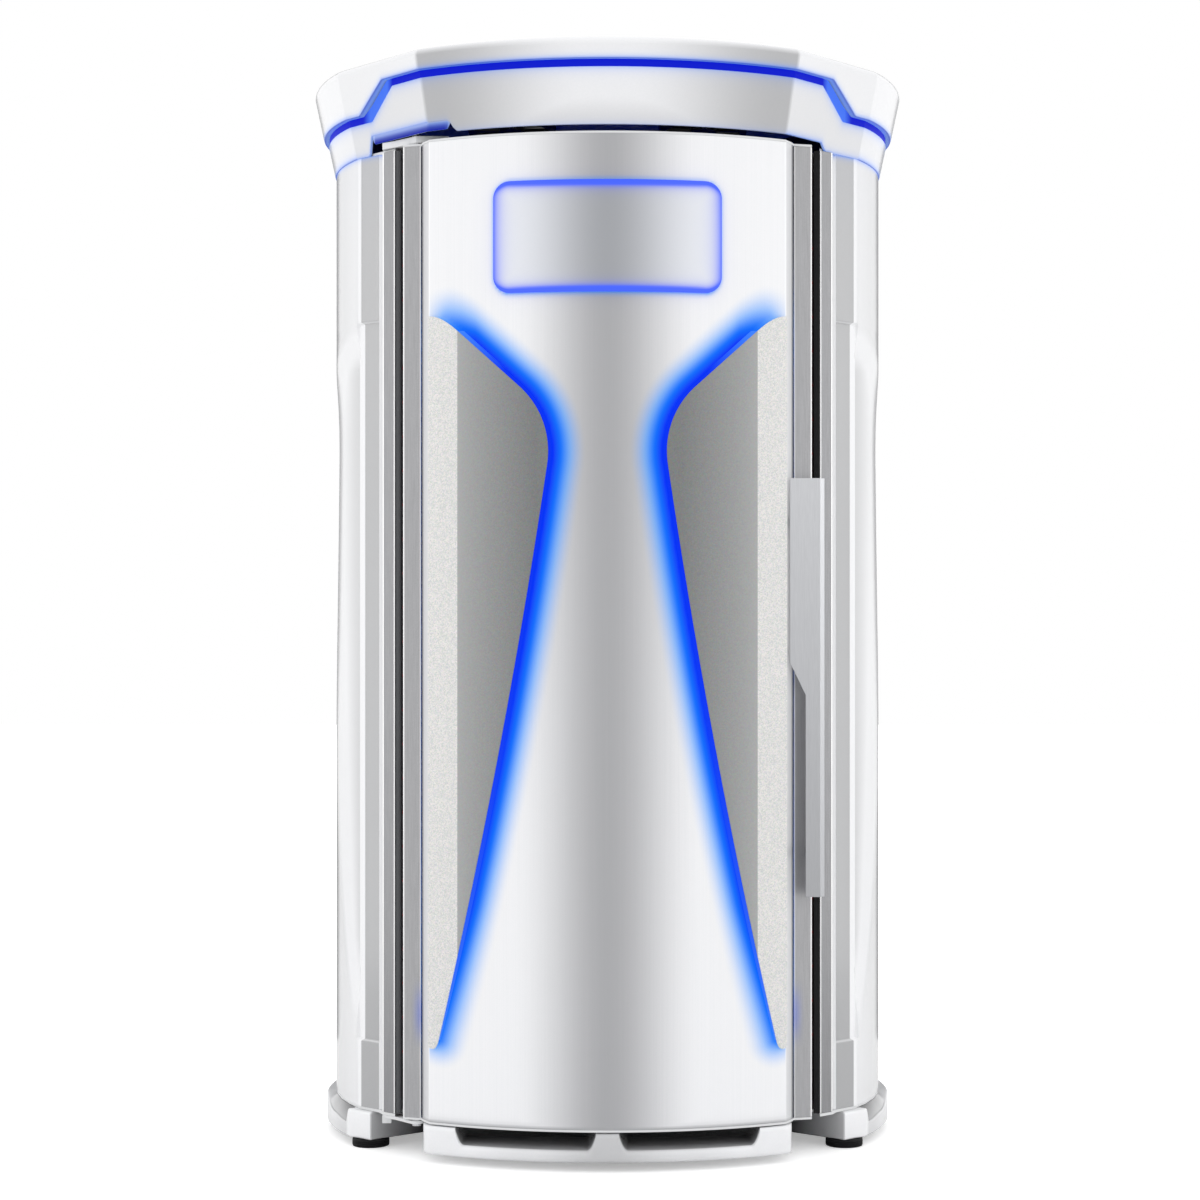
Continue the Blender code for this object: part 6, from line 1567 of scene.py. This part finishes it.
def wing_shape(sign):
    """The wing as a sheet moulding: face, rebate for the light guide, and seat on the skin."""
    front = []
    back = []
    for x, z in wing_rows:
        past = min(OUTER_ROUND, max(0.0, OUTER_ROUND - z + wing_low.z))
        outer = WING_OUTER_X - OUTER_ROUND + math.sqrt(OUTER_ROUND ** 2 - past ** 2)
        rebate = x + min(GUIDE_REBATE, 0.5 * (outer - x))
        fold = max(WING_FOLD_X, 0.5 * (rebate + outer))
        columns = [x, x + 0.2 * (rebate - x)]
        columns += [rebate + (fold - rebate) * step / LEAF_COLUMNS for step in range(LEAF_COLUMNS)]
        columns += [fold + (outer - fold) * step / STRIP_COLUMNS for step in range(STRIP_COLUMNS + 1)]
        under = [wing_rise(c) - WING_SHEET for c in columns[:3]] + [WING_LIFT] * (len(columns) - 3)
        rises = [wing_rise(c) for c in columns]
        rises[0] -= WING_EDGE_FALL
        front.append([door_point(sign * c, z, rise) for c, rise in zip(columns, rises)])
        back.append([door_point(sign * c, z, rise) for c, rise in zip(columns, under)])
    return slab(front, back)


def guide_shape(sign):
    """Light guide under the wing's inner edge, showing beside it."""
    sections = []
    for i, (x, z) in enumerate(wing_path):
        along = (wing_path[min(i + 1, len(wing_path) - 1)] - wing_path[max(i - 1, 0)]).normalized()
        taper = 1.0 - GUIDE_TAPER * (i / (len(wing_path) - 1)) ** 8
        shown = x - GUIDE_REACH * taper / abs(along.y)
        hidden = x + min(GUIDE_REBATE, 0.5 * (WING_OUTER_X - x)) - GUIDE_GAP
        top = wing_rise(hidden + GUIDE_GAP) - WING_SHEET - SEAT
        crown = shown + 0.25 * (x - shown)
        sections.append([door_point(sign * shown, z, GUIDE_LIFT), door_point(sign * shown, z, 0.6 * top),
                         door_point(sign * crown, z, top), door_point(sign * hidden, z, top),
                         door_point(sign * hidden, z, GUIDE_LIFT)])
    return loft(sections)


for side, sign in (("left", -1.0), ("right", 1.0)):
    wing = make_piece("wing_moulding_" + side, wing_shape(sign), wing_film, "door",
                      "wing_trim_" + side)
    across = np.abs(places_on_door(wing)[:, 0])
    leaf_shade = np.clip((WING_FOLD_X - across) / LEAF_SHADE_REACH, 0.0, 1.0) ** 0.8
    add_light(wing, np.zeros(len(across)), leaf_shade)
    guide = make_piece("wing_guide_" + side, guide_shape(sign), wing_blue, "door",
                       "wing_light_" + side)
    share = (wing_high.z - places_on_door(guide)[:, 1]) / (wing_high.z - wing_low.z)
    across = np.abs(places_on_door(guide)[:, 0])
    at_tip = np.clip(1.0 - (WING_FOLD_X - across) / CREST_FADE, 0.0, 1.0) * (share < 0.5)
    add_light(guide, np.maximum(share ** 5, at_tip), np.zeros(len(share)))

# Sign: a bare plate of frosted acrylic on the door, bent to its curve and edge-lit from a light frame
# behind it, so that its rim glows blue.
SIGN_PLATE = 0.004
SIGN_ROWS = 64
CORNER_STEPS = 16
FLAT_STEPS = 60
plate_reach = door_centre_y - sign_low.y - DOOR_RADIUS
frosted, tree, shader = start_material("frosted_acrylic_edge_lit")
glow = add_node(tree, "ShaderNodeAttribute", attribute_name="glow")
shade = add_node(tree, "ShaderNodeAttribute", attribute_name="shade")
frost = add_node(tree, "ShaderNodeTexNoise", {"Vector": coordinates(tree, GRAIN), "Scale": 1.0})
tint = add_node(tree, "ShaderNodeMix", data_type="RGBA", inputs={
    0: frost.outputs["Fac"], 6: linear("#E6E9F0"), 7: linear("#EEF0F6")})
shaded = add_node(tree, "ShaderNodeMix", data_type="RGBA", inputs={
    0: shade.outputs["Fac"], 6: tint.outputs[2], 7: linear("#6C6E72")})
lit = add_node(tree, "ShaderNodeMix", data_type="RGBA", inputs={
    0: glow.outputs["Fac"], 6: shaded.outputs[2], 7: linear("#05081A")})
tree.links.new(lit.outputs[2], shader.inputs["Base Color"])
shader.inputs["Emission Color"].default_value = linear("#2A58FF")
tree.links.new(glow.outputs["Fac"], shader.inputs["Emission Strength"])
shader.inputs["Roughness"].default_value = 0.38

sign_columns = [(sign_half_width - inward, sign_half_height - SIGN_CORNER + up)
                for inward, up in quarter(SIGN_CORNER, CORNER_STEPS)]
flat_half = sign_half_width - SIGN_CORNER
for step in range(1, FLAT_STEPS):
    sign_columns.append((flat_half - 2.0 * flat_half * step / FLAT_STEPS, sign_half_height))
sign_columns += [(-x, up) for x, up in sign_columns[CORNER_STEPS::-1]]
plate_front = []
plate_back = []
for row in range(SIGN_ROWS + 1):
    share = 1.0 - 2.0 * row / SIGN_ROWS
    edge = [(x, sign_middle.z + share * up) for x, up in sign_columns]
    plate_front.append([door_point(x, z, plate_reach) for x, z in edge])
    plate_back.append([door_point(x, z, plate_reach - SIGN_PLATE) for x, z in edge])
plate = make_piece("sign_blank", slab(plate_front, plate_back), frosted, "door",
                   "sign_plate")
places = places_on_door(plate)
inside = np.maximum(0.0, -outside_sign(places))
RIM_GLOW = 0.96
RIM_BAND = 0.011         # width of the evenly bright band along the rim's long sides
RIM_FALL = (0.0125, 0.0065)  # metres over which the light falls off, inside the short and long sides
to_short = sign_half_width - np.abs(places[:, 0]) + WELD
to_long = sign_half_height - np.abs(places[:, 1] - sign_middle.z) + WELD
long_side = to_short / (to_short + to_long)
rim_fall = RIM_FALL[0] + (RIM_FALL[1] - RIM_FALL[0]) * long_side
rim_glow = RIM_GLOW * np.exp(-np.maximum(0.0, inside - RIM_BAND * long_side) / rim_fall)
# Painted shade greys the plate's middle, as it does the door's.
add_light(plate, rim_glow, middle_shade(np.abs(places[:, 0])))
dress("sign_light_frame", blue_light, 0.0003)

# Handle, strike and pivots: a long bent pull plate on two stand-offs, the strike for the catch, and the
# arms and pins that the door turns on. Brushed aluminium, turned and plated steel.
handle_low, handle_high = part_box("door_handle")
BRUSH = (0.0008, 0.0008, 0.030)
brushed, tree, shader = start_material("brushed_aluminium")
brush = add_node(tree, "ShaderNodeTexNoise", {"Vector": coordinates(tree, BRUSH), "Scale": 1.0})
tint = add_node(tree, "ShaderNodeMix", data_type="RGBA", inputs={
    0: brush.outputs["Fac"], 6: linear("#C2C3C6"), 7: linear("#D8D9DC")})
place = add_node(tree, "ShaderNodeTexCoord")
place = add_node(tree, "ShaderNodeSeparateXYZ", {0: place.outputs["Object"]})
# Painted shade: the handle darkens towards its lower end.
low = add_node(tree, "ShaderNodeMapRange", {
    "Value": place.outputs["Z"], "From Min": handle_low.z, "From Max": handle_high.z,
    "To Min": 0.42, "To Max": 0.0})
tint = add_node(tree, "ShaderNodeMix", data_type="RGBA", inputs={
    0: low.outputs["Result"], 6: tint.outputs[2], 7: linear("#77787B")})
bump = add_node(tree, "ShaderNodeBump", {
    "Height": brush.outputs["Fac"], "Strength": 0.15, "Distance": 0.0002})
tree.links.new(tint.outputs[2], shader.inputs["Base Color"])
tree.links.new(bump.outputs["Normal"], shader.inputs["Normal"])
shader.inputs["Metallic"].default_value = 1.0
shader.inputs["Roughness"].default_value = 0.36

bright_steel, tree, shader = start_material("turned_bright_steel")
ring = add_node(tree, "ShaderNodeTexNoise", {"Vector": coordinates(tree, SPECKLE), "Scale": 1.0})
worn = add_node(tree, "ShaderNodeMapRange", {
    "Value": ring.outputs["Fac"], "To Min": 0.20, "To Max": 0.34})
tree.links.new(worn.outputs["Result"], shader.inputs["Roughness"])
shader.inputs["Base Color"].default_value = linear("#C8C9CB")
shader.inputs["Metallic"].default_value = 1.0
dress("door_handle", brushed, 0.0014)
dress("strike_plate", bright_steel)
dress("lower_pivot_bracket", white_steel)
dress("upper_pivot_bracket", white_steel)
for node in ("lower_pivot_pin", "upper_pivot_pin"):
    dress(node, bright_steel, 0.0004)
